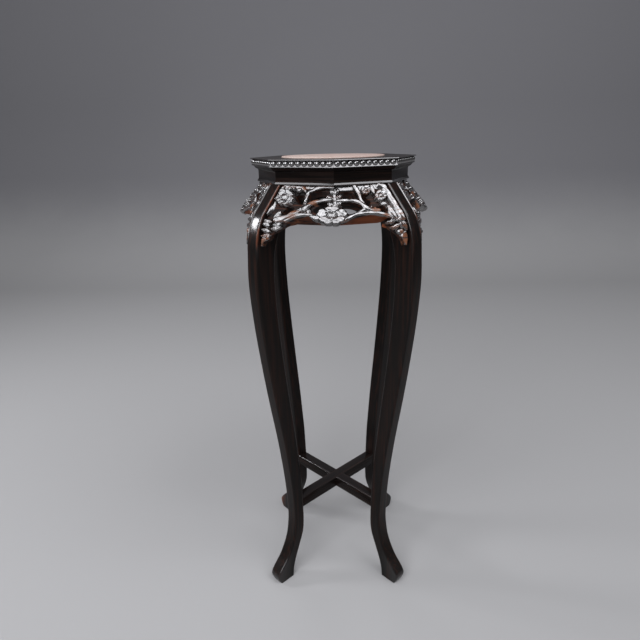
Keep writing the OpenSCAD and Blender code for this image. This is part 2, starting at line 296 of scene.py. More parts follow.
def rounded(corners: Sequence[Triple], steps: int = 5) -> Array:
    """Eases the corners of a closed outline: each becomes a parabola that leaves its two edges in line.

    Args:
        corners: Corners of the outline in order, each with how far from it the easing starts.
        steps: Points for each corner.

    Returns:
        The eased outline.
    """
    most_of_edge = 0.45
    p, r = np.asarray(corners, float)[:, :2], np.asarray(corners, float)[:, 2]
    before, after = np.roll(p, 1, axis=0) - p, np.roll(p, -1, axis=0) - p
    reach_back, reach_on = np.linalg.norm(before, axis=1), np.linalg.norm(after, axis=1)
    start = p + before * (np.minimum(r, most_of_edge * reach_back) / reach_back)[:, None]
    end = p + after * (np.minimum(r, most_of_edge * reach_on) / reach_on)[:, None]
    u = np.linspace(0.0, 1.0, steps)[None, :, None]
    curve = start[:, None] * (1.0 - u) ** 2 + 2.0 * p[:, None] * u * (1.0 - u) + end[:, None] * u ** 2
    return curve.reshape(-1, 2)


def smooth_curve(points: Pairs, closed: bool, steps: int = 6) -> Array:
    """Draws a curve through points, with each point's slope taken from its two neighbours.

    Args:
        points: The points in order.
        closed: Whether the curve comes back to its start.
        steps: Stretches between two points.

    Returns:
        Points on the curve.
    """
    p = np.asarray(points, float)
    if closed:
        ring = np.concatenate([p[-1:], p, p[:2]])
    else:
        ring = np.concatenate([2.0 * p[:1] - p[1:2], p, 2.0 * p[-1:] - p[-2:-1]])
    a, b, c, d = (ring[k:len(ring) - 3 + k, None] for k in range(4))
    u = (np.arange(steps) / steps)[None, :, None]
    curve = 0.5 * (2.0 * b + (c - a) * u + (2.0 * a - 5.0 * b + 4.0 * c - d) * u ** 2
                   + (3.0 * b - a - 3.0 * c + d) * u ** 3)
    flat = curve.reshape(-1, 2)
    return flat if closed else np.concatenate([flat, p[-1:]])


@dataclass(frozen=True)
class Nearest:
    """Where places lie beside a path.

    Attributes:
        gap: Distance from the path.
        side: Distance to the left of the path, negative on its right.
        along: Distance along the path, from 0 at its start.
        length: Length of the whole path.
    """

    gap: Array
    side: Array
    along: Array
    length: float


def beside(path: Array, s: Array, t: Array) -> Nearest:
    """Finds for each place its nearest point on a path of straight stretches.

    Args:
        path: Points of the path.
        s: Places across the carving.
        t: Places down the carving.

    Returns:
        The distances.
    """
    a, run = path[:-1], np.diff(path, axis=0)
    lengths = np.linalg.norm(run, axis=1)
    starts = np.cumsum(lengths) - lengths
    ds, dt = s[:, None] - a[:, 0], t[:, None] - a[:, 1]
    share = np.clip((ds * run[:, 0] + dt * run[:, 1]) / lengths ** 2, 0.0, 1.0)
    gaps = np.hypot(ds - share * run[:, 0], dt - share * run[:, 1])
    best = gaps.argmin(axis=1)
    row = np.arange(len(s))
    gap = gaps[row, best]
    turn = run[best, 0] * dt[row, best] - run[best, 1] * ds[row, best]
    along = starts[best] + share[row, best] * lengths[best]
    return Nearest(gap, np.where(turn < 0.0, -gap, gap), along, float(lengths.sum()))


def depth_inside(outline: Array, s: Array, t: Array) -> Array:
    """Gives how far places lie inside a closed outline, negative outside: distance, signed by ray crossings.

    Args:
        outline: Points of the outline.
        s: Places across the carving.
        t: Places down the carving.

    Returns:
        The depths.
    """
    ring = np.concatenate([outline, outline[:1]])
    gap = beside(ring, s, t).gap
    (s0, t0), (s1, t1) = ring[:-1].T, ring[1:].T
    level = t[:, None]
    spans = (t0 > level) != (t1 > level)
    rise = np.where(t1 == t0, 1.0, t1 - t0)
    hits = spans & (s[:, None] < s0 + (level - t0) * (s1 - s0) / rise)
    return np.where(hits.sum(axis=1) % 2 == 1, gap, -gap)


def ease(value: Array, low: float, high: float) -> Array:
    """Rises smoothly from 0 at low to 1 at high."""
    x = np.clip((value - low) / (high - low), 0.0, 1.0)
    return x * x * (3.0 - 2.0 * x)


# Sizes and side views

@dataclass(frozen=True)
class Levels:
    """Heights and distances read from the frame, in millimetres.

    Attributes:
        top: Top of the marble.
        rail_top: Top of the rails.
        rail: Underside of the rails.
        waist: Underside of the waist.
        edge: Distance of the top's edge from the middle, square to a side.
        marble_r: Radius of the marble.
        marble: Underside of the marble.
        stretcher_top: Top of the stretchers.
        stretcher_low: Underside of the stretchers.
    """

    top: float
    rail_top: float
    rail: float
    waist: float
    edge: float
    marble_r: float
    marble: float
    stretcher_top: float
    stretcher_low: float

    @classmethod
    def from_frame(cls) -> "Levels":
        """Reads the levels from the frame's boxes.

        Returns:
            The levels.
        """
        rail_low, rail_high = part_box("top_rail_1")
        waist_low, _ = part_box("waist_board_1")
        marble_low, marble_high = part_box("marble_panel")
        bar_low, bar_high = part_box("stretcher_upper")
        values = (marble_high.z, rail_high.z, rail_low.z, waist_low.z, -rail_low.y * COS_H, marble_high.x,
                  marble_low.z, bar_high.z, bar_low.z)
        return cls(*(value / MM for value in values))


def shares(start: tuple[float, float], end: tuple[float, float], parts: Pairs) -> list[tuple[float, float]]:
    """Gives points on the way between two stations, from shares of the way up and of the way out."""
    return [(start[0] + (end[0] - start[0]) * u, start[1] + (end[1] - start[1]) * v) for u, v in parts]


class SideView:
    """A smooth line of reach against height: a cubic between points, with slopes from the neighbours."""

    def __init__(self, points: Pairs) -> None:
        """Keeps the points and works out the slopes at them."""
        self.z, self.d = np.asarray(points, float).T
        low = np.maximum(np.arange(len(self.z)) - 1, 0)
        high = np.minimum(np.arange(len(self.z)) + 1, len(self.z) - 1)
        self.slope = (self.d[high] - self.d[low]) / (self.z[high] - self.z[low])

    def reach(self, z: Array) -> Array:
        """Gives the reach at some heights.

        Args:
            z: Heights.

        Returns:
            Distances from the stand's axis.
        """
        z = np.asarray(z, float)
        i = np.clip(np.searchsorted(self.z, z, side="right") - 1, 0, len(self.z) - 2)
        h = self.z[i + 1] - self.z[i]
        u = (z - self.z[i]) / h
        return (self.d[i] * (1 + 2 * u) * (1 - u) ** 2 + self.slope[i] * h * u * (1 - u) ** 2
                + self.d[i + 1] * u ** 2 * (3 - 2 * u) + self.slope[i + 1] * h * u ** 2 * (u - 1))


# Finishes

BUMP_STRENGTH = 0.6

# Numbers of the sockets that a name can't tell apart: the two colours of a mix, its result and the piece's
# own coordinates
MIX_FIRST, MIX_SECOND, MIX_RESULT = 6, 7, 2
OWN_PLACE = 3


class Value:
    """A number or colour on its way through a finish, which takes part in sums."""

    def __init__(self, graph: "Graph", socket: bpy.types.NodeSocket) -> None:
        """Keeps the socket and the graph that it belongs to."""
        self.graph = graph
        self.socket = socket

    def _sum(self, operation: str, a: "Value | float", b: "Value | float") -> "Value":
        """Adds a node for one operation on two numbers."""
        return self.graph.node("ShaderNodeMath", {"operation": operation}, {0: a, 1: b})

    def __add__(self, other: "Value | float") -> "Value":
        """Adds."""
        return self._sum("ADD", self, other)

    def __radd__(self, other: float) -> "Value":
        """Adds, from the right."""
        return self._sum("ADD", other, self)

    def __sub__(self, other: "Value | float") -> "Value":
        """Subtracts."""
        return self._sum("SUBTRACT", self, other)

    def __rsub__(self, other: float) -> "Value":
        """Subtracts from a plain number."""
        return self._sum("SUBTRACT", other, self)

    def __mul__(self, other: "Value | float") -> "Value":
        """Multiplies."""
        return self._sum("MULTIPLY", self, other)

    def __rmul__(self, other: float) -> "Value":
        """Multiplies, from the right."""
        return self._sum("MULTIPLY", other, self)

    def eased(self, low: float, high: float) -> "Value":
        """Rises smoothly from 0 at low to 1 at high."""
        return self.graph.node("ShaderNodeMapRange", {"interpolation_type": "SMOOTHSTEP"},
                               {"Value": self, "From Min": low, "From Max": high})


class Graph:
    """The nodes of one material."""

    def __init__(self, name: str) -> None:
        """Makes an empty material."""
        self.material = bpy.data.materials.new(name)
        self.material.use_nodes = True
        self.tree = self.material.node_tree
        self.tree.nodes.clear()

    def node(self, kind: str, settings: dict[str, object], inputs: dict[int | str, object],
             out: int = 0) -> Value:
        """Adds a node.

        Args:
            kind: Type of the node.
            settings: Its own settings, which are set first.
            inputs: Values or links of its sockets, by name or number.
            out: Number of the output that is wanted.

        Returns:
            That output.
        """
        made = self.tree.nodes.new(kind)
        for key, setting in settings.items():
            setattr(made, key, setting)
        for key, value in inputs.items():
            if isinstance(value, Value):
                self.tree.links.new(value.socket, made.inputs[key])
            else:
                made.inputs[key].default_value = value
        return Value(self, made.outputs[out])

    def attribute(self, name: str, out: str) -> Value:
        """Reads one of the mesh's own attributes.

        Args:
            name: Name of the attribute.
            out: Vector for a place, Fac for a number.

        Returns:
            What it holds.
        """
        made = self.node("ShaderNodeAttribute", {"attribute_name": name}, {})
        return Value(self, made.socket.node.outputs[out])

    def place(self) -> Value:
        """Reads the piece's own coordinates."""
        return self.node("ShaderNodeTexCoord", {}, {}, out=OWN_PLACE)

    def axes(self, place: Value) -> list[Value]:
        """Takes a place apart into its three axes."""
        made = self.node("ShaderNodeSeparateXYZ", {}, {0: place})
        return [Value(self, socket) for socket in made.socket.node.outputs]

    def noise(self, place: Value, scale: Triple, detail: float = 4.0, roughness: float = 0.55) -> Value:
        """Adds cloudy noise, drawn out along the axes.

        Args:
            place: Where it is read.
            scale: Count of clouds to a metre along each axis.
            detail: Finer layers.
            roughness: Weight of those layers.

        Returns:
            A number about 0.5.
        """
        spread = self.node("ShaderNodeMapping", {}, {"Vector": place, "Scale": scale})
        inputs = {"Vector": spread, "Scale": 1.0, "Detail": detail, "Roughness": roughness}
        return self.node("ShaderNodeTexNoise", {}, inputs)

    def mix(self, share: Value, first: "Value | Colour", second: "Value | Colour") -> Value:
        """Mixes two colours.

        Args:
            share: How much of the second.
            first: The colour at 0.
            second: The colour at 1.

        Returns:
            The mixed colour.
        """
        ends = {MIX_FIRST: first, MIX_SECOND: second}
        filled = {key: end if isinstance(end, Value) else (*end, 1.0) for key, end in ends.items()}
        return self.node("ShaderNodeMix", {"data_type": "RGBA"}, {0: share, **filled}, out=MIX_RESULT)

    def finish(self, inputs: dict[str, object], height: Value, relief: float) -> bpy.types.Material:
        """Closes the graph with a shader.

        Args:
            inputs: Values or links of the shader's sockets, by name.
            height: What stands up, from 0 to 1.
            relief: How high that is, in millimetres.

        Returns:
            The material.
        """
        sockets = {"Height": height, "Strength": BUMP_STRENGTH, "Distance": relief * MM}
        bump = self.node("ShaderNodeBump", {}, sockets)
        shader = self.node("ShaderNodeBsdfPrincipled", {}, {"Normal": bump, **inputs})
        output = self.tree.nodes.new("ShaderNodeOutputMaterial")
        self.tree.links.new(shader.socket, output.inputs["Surface"])
        return self.material


@dataclass(frozen=True)
class Lacquer:
    """Dark stain under worn lacquer: streaks along the grain, and red-brown wood where it is rubbed.

    Attributes:
        name: Name of the material.
        stain: Colour of the sound finish.
        streak: Colour of the lighter streaks in it.
        worn: Colour of the rubbed wood.
        unstained: Colour of the wood where a face has hardly any finish.
        gloss: Roughness of the sound finish.
        patches: How much of the surface is rubbed, from 0 to 1.
        shine: Strength of its reflections, where 0.5 is plain lacquer.
        coat: Weight of a polished coat over it, which thin and rubbed places lack.
        polish: How much of that coat hands have rubbed onto the edges.
        rub: How much sooner those edges turn brown.
        coat_ior: Strength of that coat's reflections.
        coat_gloss: Roughness of that coat.
        pores: Height of the grain's ridges, in millimetres.
        streak_scale: Count of streaks to a metre along, across and into the wood.
        pore_scale: Count of pores to a metre.
        cloud_scale: Count of rubbed clouds to a metre.
    """

    name: str
    stain: Colour = (0.0075, 0.0062, 0.0058)
    streak: Colour = (0.0180, 0.0105, 0.0085)
    worn: Colour = (0.1250, 0.0360, 0.0150)
    unstained: Colour = (0.1500, 0.0440, 0.0180)
    gloss: float = 0.24
    patches: float = 0.05
    shine: float = 0.5
    coat: float = 0.0
    polish: float = 1.0
    rub: float = 0.22
    coat_ior: float = 2.0
    coat_gloss: float = 0.15
    pores: float = 0.2
    streak_scale: Triple = (7.0, 210.0, 210.0)
    pore_scale: Triple = (45.0, 900.0, 900.0)
    cloud_scale: Triple = (6.0, 26.0, 26.0)

    def material(self) -> bpy.types.Material:
        """Builds the material.

        A place is rubbed where clouds, some of the streaks and the wear add up past a limit, and its finish
        is thin where the raw attribute and the streaks do. The coat lies on what is neither.

        Returns:
            The finish, which reads the pieces' own grain, wear and raw attributes.
        """
        g = Graph(self.name)
        grain = g.attribute("grain", "Vector")
        wear = g.attribute("wear", "Fac")
        raw = g.attribute("raw", "Fac")
        streak = g.noise(grain, self.streak_scale)
        pore = g.noise(grain, self.pore_scale, 2.0)
        cloud = g.noise(grain, self.cloud_scale, roughness=0.65)
        rubbed = (cloud + 0.35 * streak + self.rub * wear).eased(0.92 - self.patches, 1.10 - self.patches)
        thin = (raw * (0.35 + streak)).eased(0.35, 0.95)
        sound = g.mix(streak.eased(0.42, 0.72), self.stain, self.streak)
        colour = g.mix(thin, g.mix(rubbed * 0.75, sound, self.worn), self.unstained)
        sealed = (1.0 - raw.eased(0.0, 0.3)) * (1.0 - 0.85 * rubbed)
        inputs = {
            "Base Color": colour,
            "Roughness": self.gloss + 0.10 * streak + 0.15 * rubbed + 0.3 * raw,
            "Coat Weight": sealed * (self.coat + self.polish * wear),
            "Coat Roughness": self.coat_gloss,
            "Coat IOR": self.coat_ior,
            "Specular IOR Level": self.shine}
        return g.finish(inputs, streak * 0.6 + pore * 0.4, self.pores)


@dataclass(frozen=True)
class BareWood:
    """Unfinished hardwood, where the frame's own inner pieces stay.

    Attributes:
        name: Name of the material.
        pale: Colour of the early wood.
        dark: Colour of the late wood.
    """

    name: str = "bare_hardwood"
    pale: Colour = (0.120, 0.052, 0.026)
    dark: Colour = (0.060, 0.024, 0.013)

    def material(self) -> bpy.types.Material:
        """Builds the material.

        Returns:
            The finish, on the pieces' own coordinates.
        """
        g = Graph(self.name)
        streak = g.noise(g.place(), (60.0, 60.0, 260.0))
        colour = g.mix(streak.eased(0.35, 0.65), self.dark, self.pale)
        inputs = {"Base Color": colour, "Roughness": 0.55 + 0.2 * streak, "Specular IOR Level": 0.4}
        return g.finish(inputs, streak, 0.2)


@dataclass(frozen=True)
class Marble:
    """Pinkish beige marble with soft clouds and fine rust veins.

    Attributes:
        name: Name of the material.
        ground: Main colour.
        blush: Colour of the pink clouds.
        vein: Colour of the veins.
    """

    name: str = "pink_marble"
    ground: Colour = (0.490, 0.395, 0.350)
    blush: Colour = (0.460, 0.330, 0.290)
    vein: Colour = (0.330, 0.190, 0.145)

    def material(self) -> bpy.types.Material:
        """Builds the material: clouds of two colours, and veins where another noise is close to its middle.

        Returns:
            The finish, on the panel's own coordinates.
        """
        g = Graph(self.name)
        place = g.place()
        cloud = g.noise(place, (14.0, 26.0, 14.0), 5.0, 0.6)
        fine = g.noise(place, (70.0, 120.0, 70.0), roughness=0.6)
        path = g.noise(place, (9.0, 22.0, 9.0), 6.0, 0.7) - 0.5
        vein = 1.0 - (path * path).eased(0.0, 0.001)
        body = g.mix(cloud.eased(0.38, 0.66), self.ground, self.blush)
        colour = g.mix(vein * 0.35 * fine, body, self.vein)
        inputs = {"Base Color": colour, "Roughness": 0.38 + 0.10 * fine, "Specular IOR Level": 0.35}
        return g.finish(inputs, fine, 0.05)


# The lacquer of the legs, of the beaded rails, of the plain members and of the carving
LEG_LACQUER = Lacquer(
    "dark_lacquer", stain=(0.0050, 0.0040, 0.0036), streak=(0.018, 0.0078, 0.0055), gloss=0.3, patches=0.08,
    shine=0.14, rub=0.3)
RAIL_LACQUER = Lacquer(
    "beaded_lacquer", gloss=0.36, shine=0.06, rub=-0.3, coat_ior=2.8, coat_gloss=0.16, pores=0.06)
PLAIN_LACQUER = Lacquer("coved_lacquer", stain=(0.0055, 0.0042, 0.0038), gloss=0.15, shine=0.08, rub=-0.3)
CARVED_LACQUER = Lacquer(
    "carved_lacquer", streak=(0.040, 0.017, 0.011), worn=(0.21, 0.085, 0.042), patches=0.14, shine=0.1,
    coat=1.0, polish=0.0, coat_ior=2.45, coat_gloss=0.2, pores=0.06)


# Top, waist and marble

def side_turn(k: int) -> float:
    """Gives the turn of one side of the octagon, counted from the first."""
    return FIRST_SIDE + 2 * k * HALF_TURN


def mitred(section: Array, columns: int = 2, arris: float = 0.35, round_inside: Array | None = None) -> Shape:
    """Carries a section along one side of the octagon between its two mitres, with the ends eased a little.

    A section point at distance a runs from -a tan(22.5) to +a tan(22.5). A point that is round inside
    follows a circle about the stand's axis instead. At the last column each way the section shrinks by
    the arris towards its middle, so that the joint shows as a fine line.

    Args:
        section: Points as distance out and height.
        columns: Count of even stations along the side.
        arris: Easing at the mitre.
        round_inside: Marks the points that follow a circle.

    Returns:
        The member on the side that faces +X.
    """
    inner = np.linspace(-1.0, 1.0, columns)
    edge = arris / (section[:, 0].max() * TAN_H)
    shares_along = np.concatenate([[-1.0], inner[:1] + edge, inner[1:-1], inner[-1:] - edge, [1.0]])
    middle = section.mean(axis=0)
    lean = section - middle
    inset = lean / np.maximum(np.linalg.norm(lean, axis=1), TINY)[:, None] * arris
    at_end = np.abs(shares_along) > 1.0 - TINY
    a = section[None, :, 0] - at_end[:, None] * inset[None, :, 0]
    z = section[None, :, 1] - at_end[:, None] * inset[None, :, 1]
    f = shares_along[:, None]
    x, y = np.broadcast_to(a, (len(f), len(section))).copy(), f * a * TAN_H
    if round_inside is not None:
        turn = np.broadcast_to(f * HALF_TURN, a.shape)
        x = np.where(round_inside, a * np.cos(turn), x)
        y = np.where(round_inside, a * np.sin(turn), y)
    rings = np.stack([x, y, np.broadcast_to(z, x.shape)], axis=-1)
    grain = np.stack([y, x, np.broadcast_to(z, x.shape)], axis=-1)
    return loft(rings, grain)


@dataclass(frozen=True)
class TopFrame:
    """Eight mitred rails with a row of beads on the edge, round a marble panel.

    Attributes:
        levels: The frame's levels.
        edge_h: Height of the edge.
        low_in: How far the lower fillet lies behind the upper one.
        fillet_h: Height of the upper fillet.
        bed_h: Height of the sloped bed behind the beads.
        groove_depth: Depth of the hollow above that bed.
        under_in: How far the underside is drawn in.
        bead_count: Beads on one side.
        bead_d: Height of a bead.
        bead_drop: How far the beads lie below the middle of the edge.
        bead_in: How far the fronts of the beads lie behind the edge.
        marble_gap: Gap round the marble.
        ledge_w: Width of the ledge that carries the marble.
        marble_easing: Easing of the marble's upper edge.
        marble_foot: Size of the bevel under the marble.
        edge_wear: How rubbed the edge is.
        top_wear: How rubbed the top is.
    """

    levels: Levels
    edge_h: float = 14.0
    low_in: float = 2.4
    fillet_h: float = 1.4
    bed_h: float = 7.5
    groove_depth: float = 5.8
    under_in: float = 11.5
    bead_count: int = 10
    bead_d: float = 12.0
    bead_drop: float = 0.4
    bead_in: float = 0.6
    marble_gap: float = 0.3
    ledge_w: float = 10.0
    marble_easing: float = 1.2
    marble_foot: float = 0.5
    edge_wear: float = 0.6
    top_wear: float = 0.2

    def rail(self) -> Shape:
        """Builds one rail: an edge with a fillet over a sloped bed, a flat top, and a ledge cut to a circle.

        The fillet and the bed slope, so that they catch the light.

        Returns:
            The rail with its beads, on the side that faces +X.
        """
        v = self.levels
        high, low = v.rail_top, v.rail_top - self.edge_h
        groove, low_a, under = v.edge - self.groove_depth, v.edge - self.low_in, v.edge - self.under_in
        rim, ledge = v.marble_r + self.marble_gap, v.marble_r - self.ledge_w
        nose, step = high - self.fillet_h, low + self.bed_h
        corners = [
            # Underside, and the sweep up to the lower fillet
            (ledge, v.rail, 0.4), (under, v.rail, 0.5), (under + 1.7, v.rail + 0.6, 3.0),
            (low_a - 3.4, low - 0.4, 3.0), (low_a, low + 0.3, 0.6), (low_a, low + 0.9, 0.4),
            # Sloped bed, hollow and upper fillet
            (groove, step, 0.6), (groove, nose - 0.8, 0.8), (v.edge - 0.6, nose - 0.3, 0.4),
            (v.edge, nose + 0.2, 0.3), (v.edge - 0.7, high - 0.1, 0.2), (v.edge - 1.1, high, 0.3),
            # Flat top, and the ledge for the marble
            (rim, high, 0.5), (rim, v.marble, 0.3), (ledge, v.marble, 0.3)]
        section = rounded(corners)
        round_w, columns = 2.0, 41
        body = mitred(section, columns, round_inside=section[:, 0] < rim + round_w)
        z = body.points[:, 2]
        outer = np.tile(section[:, 0] > groove - 0.2, len(z) // len(section))
        rubbed = self.edge_wear * outer * ease(z, low - 0.4, low + 0.2)
        body.wear = np.where(z < high - 0.1, rubbed, self.top_wear)
        bead_a = v.edge - self.bead_in - self.bead_d / 2.0
        pitch = 2.0 * bead_a * TAN_H / self.bead_count
        along = (np.arange(self.bead_count) - (self.bead_count - 1) / 2.0) * pitch
        centres = np.stack(np.broadcast_arrays(bead_a, along, (high + low) / 2.0 - self.bead_drop), axis=-1)
        beads = balls(centres, self.bead_d / 2.0)
        for bead in beads:
            bead.wear = np.ones(len(bead.points))
        return joined([body, *beads])

    def marble(self) -> Shape:
        """Builds the panel: a disc with an eased upper edge, spun about the stand's axis.

        Returns:
            The panel.
        """
        v, easing, foot = self.levels, self.marble_easing, self.marble_foot
        around, full = 144, v.marble_r
        turn = 2.0 * np.pi * np.arange(around) / around
        u = np.linspace(0.0, np.pi / 2.0, 6)
        r = np.concatenate([[full - foot, full], full - easing + easing * np.cos(u)])[:, None]
        z = np.concatenate([[v.marble, v.marble + foot], v.top - easing + easing * np.sin(u)])[:, None]
        return loft(np.stack(np.broadcast_arrays(r * np.cos(turn), r * np.sin(turn), z), axis=-1))

    def build(self, wood: bpy.types.Material, stone: bpy.types.Material) -> None:
        """Makes the rails and the panel.

        Args:
            wood: Finish of the rails.
            stone: Finish of the panel.
        """
        rail = self.rail()
        for k in range(SIDES):
            name = f"top_rail_{k + 1}"
            make_piece(f"beaded_rail_{k + 1}", rail.turned(side_turn(k)), wood, Slot.LACQUER, name)
        make_piece("marble_top", self.marble(), stone, Slot.MARBLE, "marble_panel")


@dataclass(frozen=True)
class Waist:
    """Eight mitred boards under the top, with a small cove above and a sloped moulding at the foot.

    Attributes:
        levels: The frame's levels.
        inset: How far the waist lies behind the top's edge.
        thickness: Thickness of a board.
        cove: Size of the cove.
        foot_h: Height of the foot moulding.
        foot_out: How far that stands out.
        foot_wear: How rubbed that is.
    """

    levels: Levels
    inset: float = 14.5
    thickness: float = 12.0
    cove: float = 3.0
    foot_h: float = 4.4
    foot_out: float = 2.5
    foot_wear: float = 0.65

    def board(self) -> Shape:
        """Builds one board from its section.

        Returns:
            The board on the side that faces +X.
        """
        v = self.levels
        low, high, step = v.waist, v.rail, v.waist + self.foot_h
        a = v.edge - self.inset
        rear, nose = a - self.thickness, a + self.foot_out
        u = np.linspace(math.pi / 2.0, 0.0, 7)
        easing = [0.4, *([0.8] * (len(u) - 1))]
        arc = zip(a + self.cove - self.cove * np.cos(u), high - self.cove + self.cove * np.sin(u), easing)
        corners = [
            (rear, high, 0.3), *arc, (a, step + 0.6, 0.4), (a + 0.8, step, 0.3), (nose - 0.4, low + 2.0, 0.3),
            (nose, low + 1.2, 0.4), (nose, low, 0.3), (rear, low, 0.3)]
        board = mitred(rounded(corners, 4))
        board.wear = self.foot_wear * (board.points[:, 2] < step + 0.2)
        return board

    def build(self, wood: bpy.types.Material) -> None:
        """Makes the boards in one finish."""
        board = self.board()
        for k in range(SIDES):
            name = f"waist_board_{k + 1}"
            make_piece(f"coved_{name}", board.turned(side_turn(k)), wood, Slot.LACQUER, name)


# Legs and stretchers

@dataclass(frozen=True)
class Legs:
    """Four curved legs on the diagonals, with a bead down each front edge of the shoulder.

    Attributes:
        levels: The frame's levels.
        front: Side view of the front.
        back: Side view of the back.
        post_out: Front of the post behind the waist.
        post_in: Back of the post.
        width: Width of a leg.
        corner: Easing of its long edges.
        crown: How far the middle of the front swells.
        bead_w: Width of the shoulder's bead.
        bead_h: Height of that bead.
        bead_end: Height at which the bead has died away.
        bead_fade: Height over which it dies away.
        bead_ease: Share by which the easing of the edges is shallower beside the bead.
        sole_ease: Easing round the sole.
        glint_z: Height of the place on the shoulder that hands polish most.
        glint_h: How far up and down from there the polish fades.
        glint_wear: How rubbed that place is.
        toe_wear: How rubbed the toes are.
        left_wear: How rubbed the left front edge is, where the right one is 1.
    """

    levels: Levels
    front: SideView
    back: SideView
    post_out: float
    post_in: float
    width: float = 28.0
    corner: float = 4.0
    crown: float = 0.5
    bead_w: float = 3.0
    bead_h: float = 1.2
    bead_end: float = 735.0
    bead_fade: float = 60.0
    bead_ease: float = 0.6
    sole_ease: float = 1.2
    glint_z: float = 805.0
    glint_h: float = 28.0
    glint_wear: float = 0.25
    toe_wear: float = 0.3
    left_wear: float = 0.4

    @classmethod
    def shaped(cls, levels: Levels, waist: Waist) -> "Legs":
        """Works out the two side views from the leg's stations, as height and distance from the stand's axis.

        Args:
            levels: The frame's levels.
            waist: The waist, whose corner the stations are measured from.

        Returns:
            The legs.
        """
        post_t, glue_gap = 28.0, 0.1
        sole_out, sole_l, toe_h, toe_out = 44.0, 37.0, 22.0, 51.0
        ankle_h, ankle_in, ankle_t = 160.0, 4.0, 25.0
        knee_drop, knee_out, knee_t, shoulder_out = 168.0, 65.0, 43.0, 3.0
        waist_a = levels.edge - waist.inset
        corner = waist_a / COS_H
        post_out = (waist_a - waist.thickness - cls.width / 2.0 * SIN_H) / COS_H - glue_gap
        post_in = post_out - post_t
        sole, toe = (0.0, corner + sole_out), (toe_h, corner + toe_out)
        ankle, knee = (ankle_h, corner - ankle_in), (levels.waist - knee_drop, corner + knee_out)
        shoulder = (levels.waist, corner + shoulder_out)
        heel, ankle_back = (0.0, sole[1] - sole_l), (ankle_h, ankle[1] - ankle_t)
        knee_back, shoulder_back = (knee[0], knee[1] - knee_t), (levels.waist, post_in)
        foot_front = [(0.08, 0.12), (0.25, 0.5), (0.5, 0.83), (0.75, 0.97)]
        shaft_front = [(0.14, 0.07), (0.33, 0.27), (0.55, 0.57), (0.76, 0.82), (0.89, 0.94)]
        bend_front = [(0.33, 0.04), (0.5, 0.11), (0.6, 0.2), (0.7, 0.33), (0.8, 0.55)]
        foot_rear = [(0.13, 0.06), (0.27, 0.24), (0.39, 0.46), (0.5, 0.66), (0.61, 0.86), (0.74, 0.98)]
        shaft_rear = [(0.17, 0.08), (0.28, 0.2), (0.38, 0.32), (0.53, 0.53), (0.68, 0.73), (0.85, 0.92)]
        bend_rear = [(0.3, 0.05), (0.5, 0.2), (0.7, 0.52), (0.85, 0.83)]
        front = [
            sole, *shares(sole, toe, [(0.5, 0.75)]), toe, *shares(toe, ankle, foot_front), ankle,
            *shares(ankle, knee, shaft_front), knee, *shares(knee, shoulder, bend_front), shoulder]
        back = [
            heel, *shares(heel, ankle_back, foot_rear), ankle_back,
            *shares(ankle_back, knee_back, shaft_rear), knee_back,
            *shares(knee_back, shoulder_back, bend_rear), shoulder_back]
        return cls(levels, SideView(front), SideView(back), post_out, post_in)

    def section(self) -> tuple[Array, Array, Array]:
        """Draws the leg's section from one front edge to the other, and back along the rear.

        Returns:
            Places across the leg, how far each point lies inside its face, and which face: 1 front, 0 back.
        """
        half, side_in = self.width / 2.0, 5.0
        u = np.linspace(np.pi / 2.0, 0.0, 7)
        arc_l = np.concatenate([[half], half - self.corner + self.corner * np.sin(u)])
        arc_in = np.concatenate([[side_in], self.corner * (1.0 - np.cos(u))])
        flat = np.linspace(-(half - self.corner), half - self.corner, 45)[1:-1]
        front_l = np.concatenate([-arc_l, flat, arc_l[::-1]])
        front_in = np.concatenate([arc_in, np.zeros(len(flat)), arc_in[::-1]])
        rear_flat = flat[::-6]
        back_l = np.concatenate([arc_l, rear_flat, -arc_l[::-1]])
        back_in = np.concatenate([arc_in, np.zeros(len(rear_flat)), arc_in[::-1]])
        return (np.concatenate([front_l, back_l]), np.concatenate([front_in, back_in]),
                np.concatenate([np.ones(len(front_l)), np.zeros(len(back_l))]))

    def leg(self) -> Shape:
        """Builds a leg: its section carried up the two side views, with the post on top.

        The bead is half a round along each front edge with a fine quirk inside it, and dies away downwards.
        The finish is rubbed along the bead, on the bend of the shoulder and on the toe.

        Returns:
            The leg on the +X axis.
        """
        across, inside, is_front = self.section()
        top = self.levels.waist
        quirk_depth, quirk_at, quirk_w = 0.7, 0.6, 0.7
        toe_full, toe_end = 25.0, 75.0
        foot, ankle = np.linspace(2.5, 60.0, 28), np.linspace(64.0, 200.0, 34)
        shaft, shoulder = np.linspace(208.0, 690.0, 60), np.linspace(696.0, top, 70)
        z = np.concatenate([[0.0, 0.5, self.sole_ease], foot, ankle, shaft, shoulder])
        front, back = self.front.reach(z), self.back.reach(z)
        edge = self.width / 2.0 - np.abs(across)
        round_ = 1.0 - ((edge - self.bead_w / 2.0) / (self.bead_w / 2.0)) ** 2
        bead = self.bead_h * np.sqrt(np.clip(round_, 0.0, None))
        quirk = quirk_depth * np.exp(-((edge - self.bead_w - quirk_at) / quirk_w) ** 2)
        swell = self.crown * (1.0 - (across / (self.width / 2.0)) ** 2)
        fade = ease(z, self.bead_end, self.bead_end + self.bead_fade)
        proud = is_front * (swell[None, :] + fade[:, None] * (bead - quirk)[None, :])
        eased = inside[None, :] * (1.0 - self.bead_ease * fade[:, None])
        out = np.where(is_front > 0.5, front[:, None] - eased, back[:, None] + eased) + proud
        sole = np.maximum(self.sole_ease - z, 0.0)[:, None]
        out = out - np.where(is_front > 0.5, 1.0, -1.0) * sole
        width = np.broadcast_to(across, out.shape) * (1.0 - sole / self.width * 2.0)
        rings = np.stack([out, width, np.broadcast_to(z[:, None], out.shape)], axis=-1)
        post = np.where(is_front > 0.5, self.post_out - inside, self.post_in + inside)
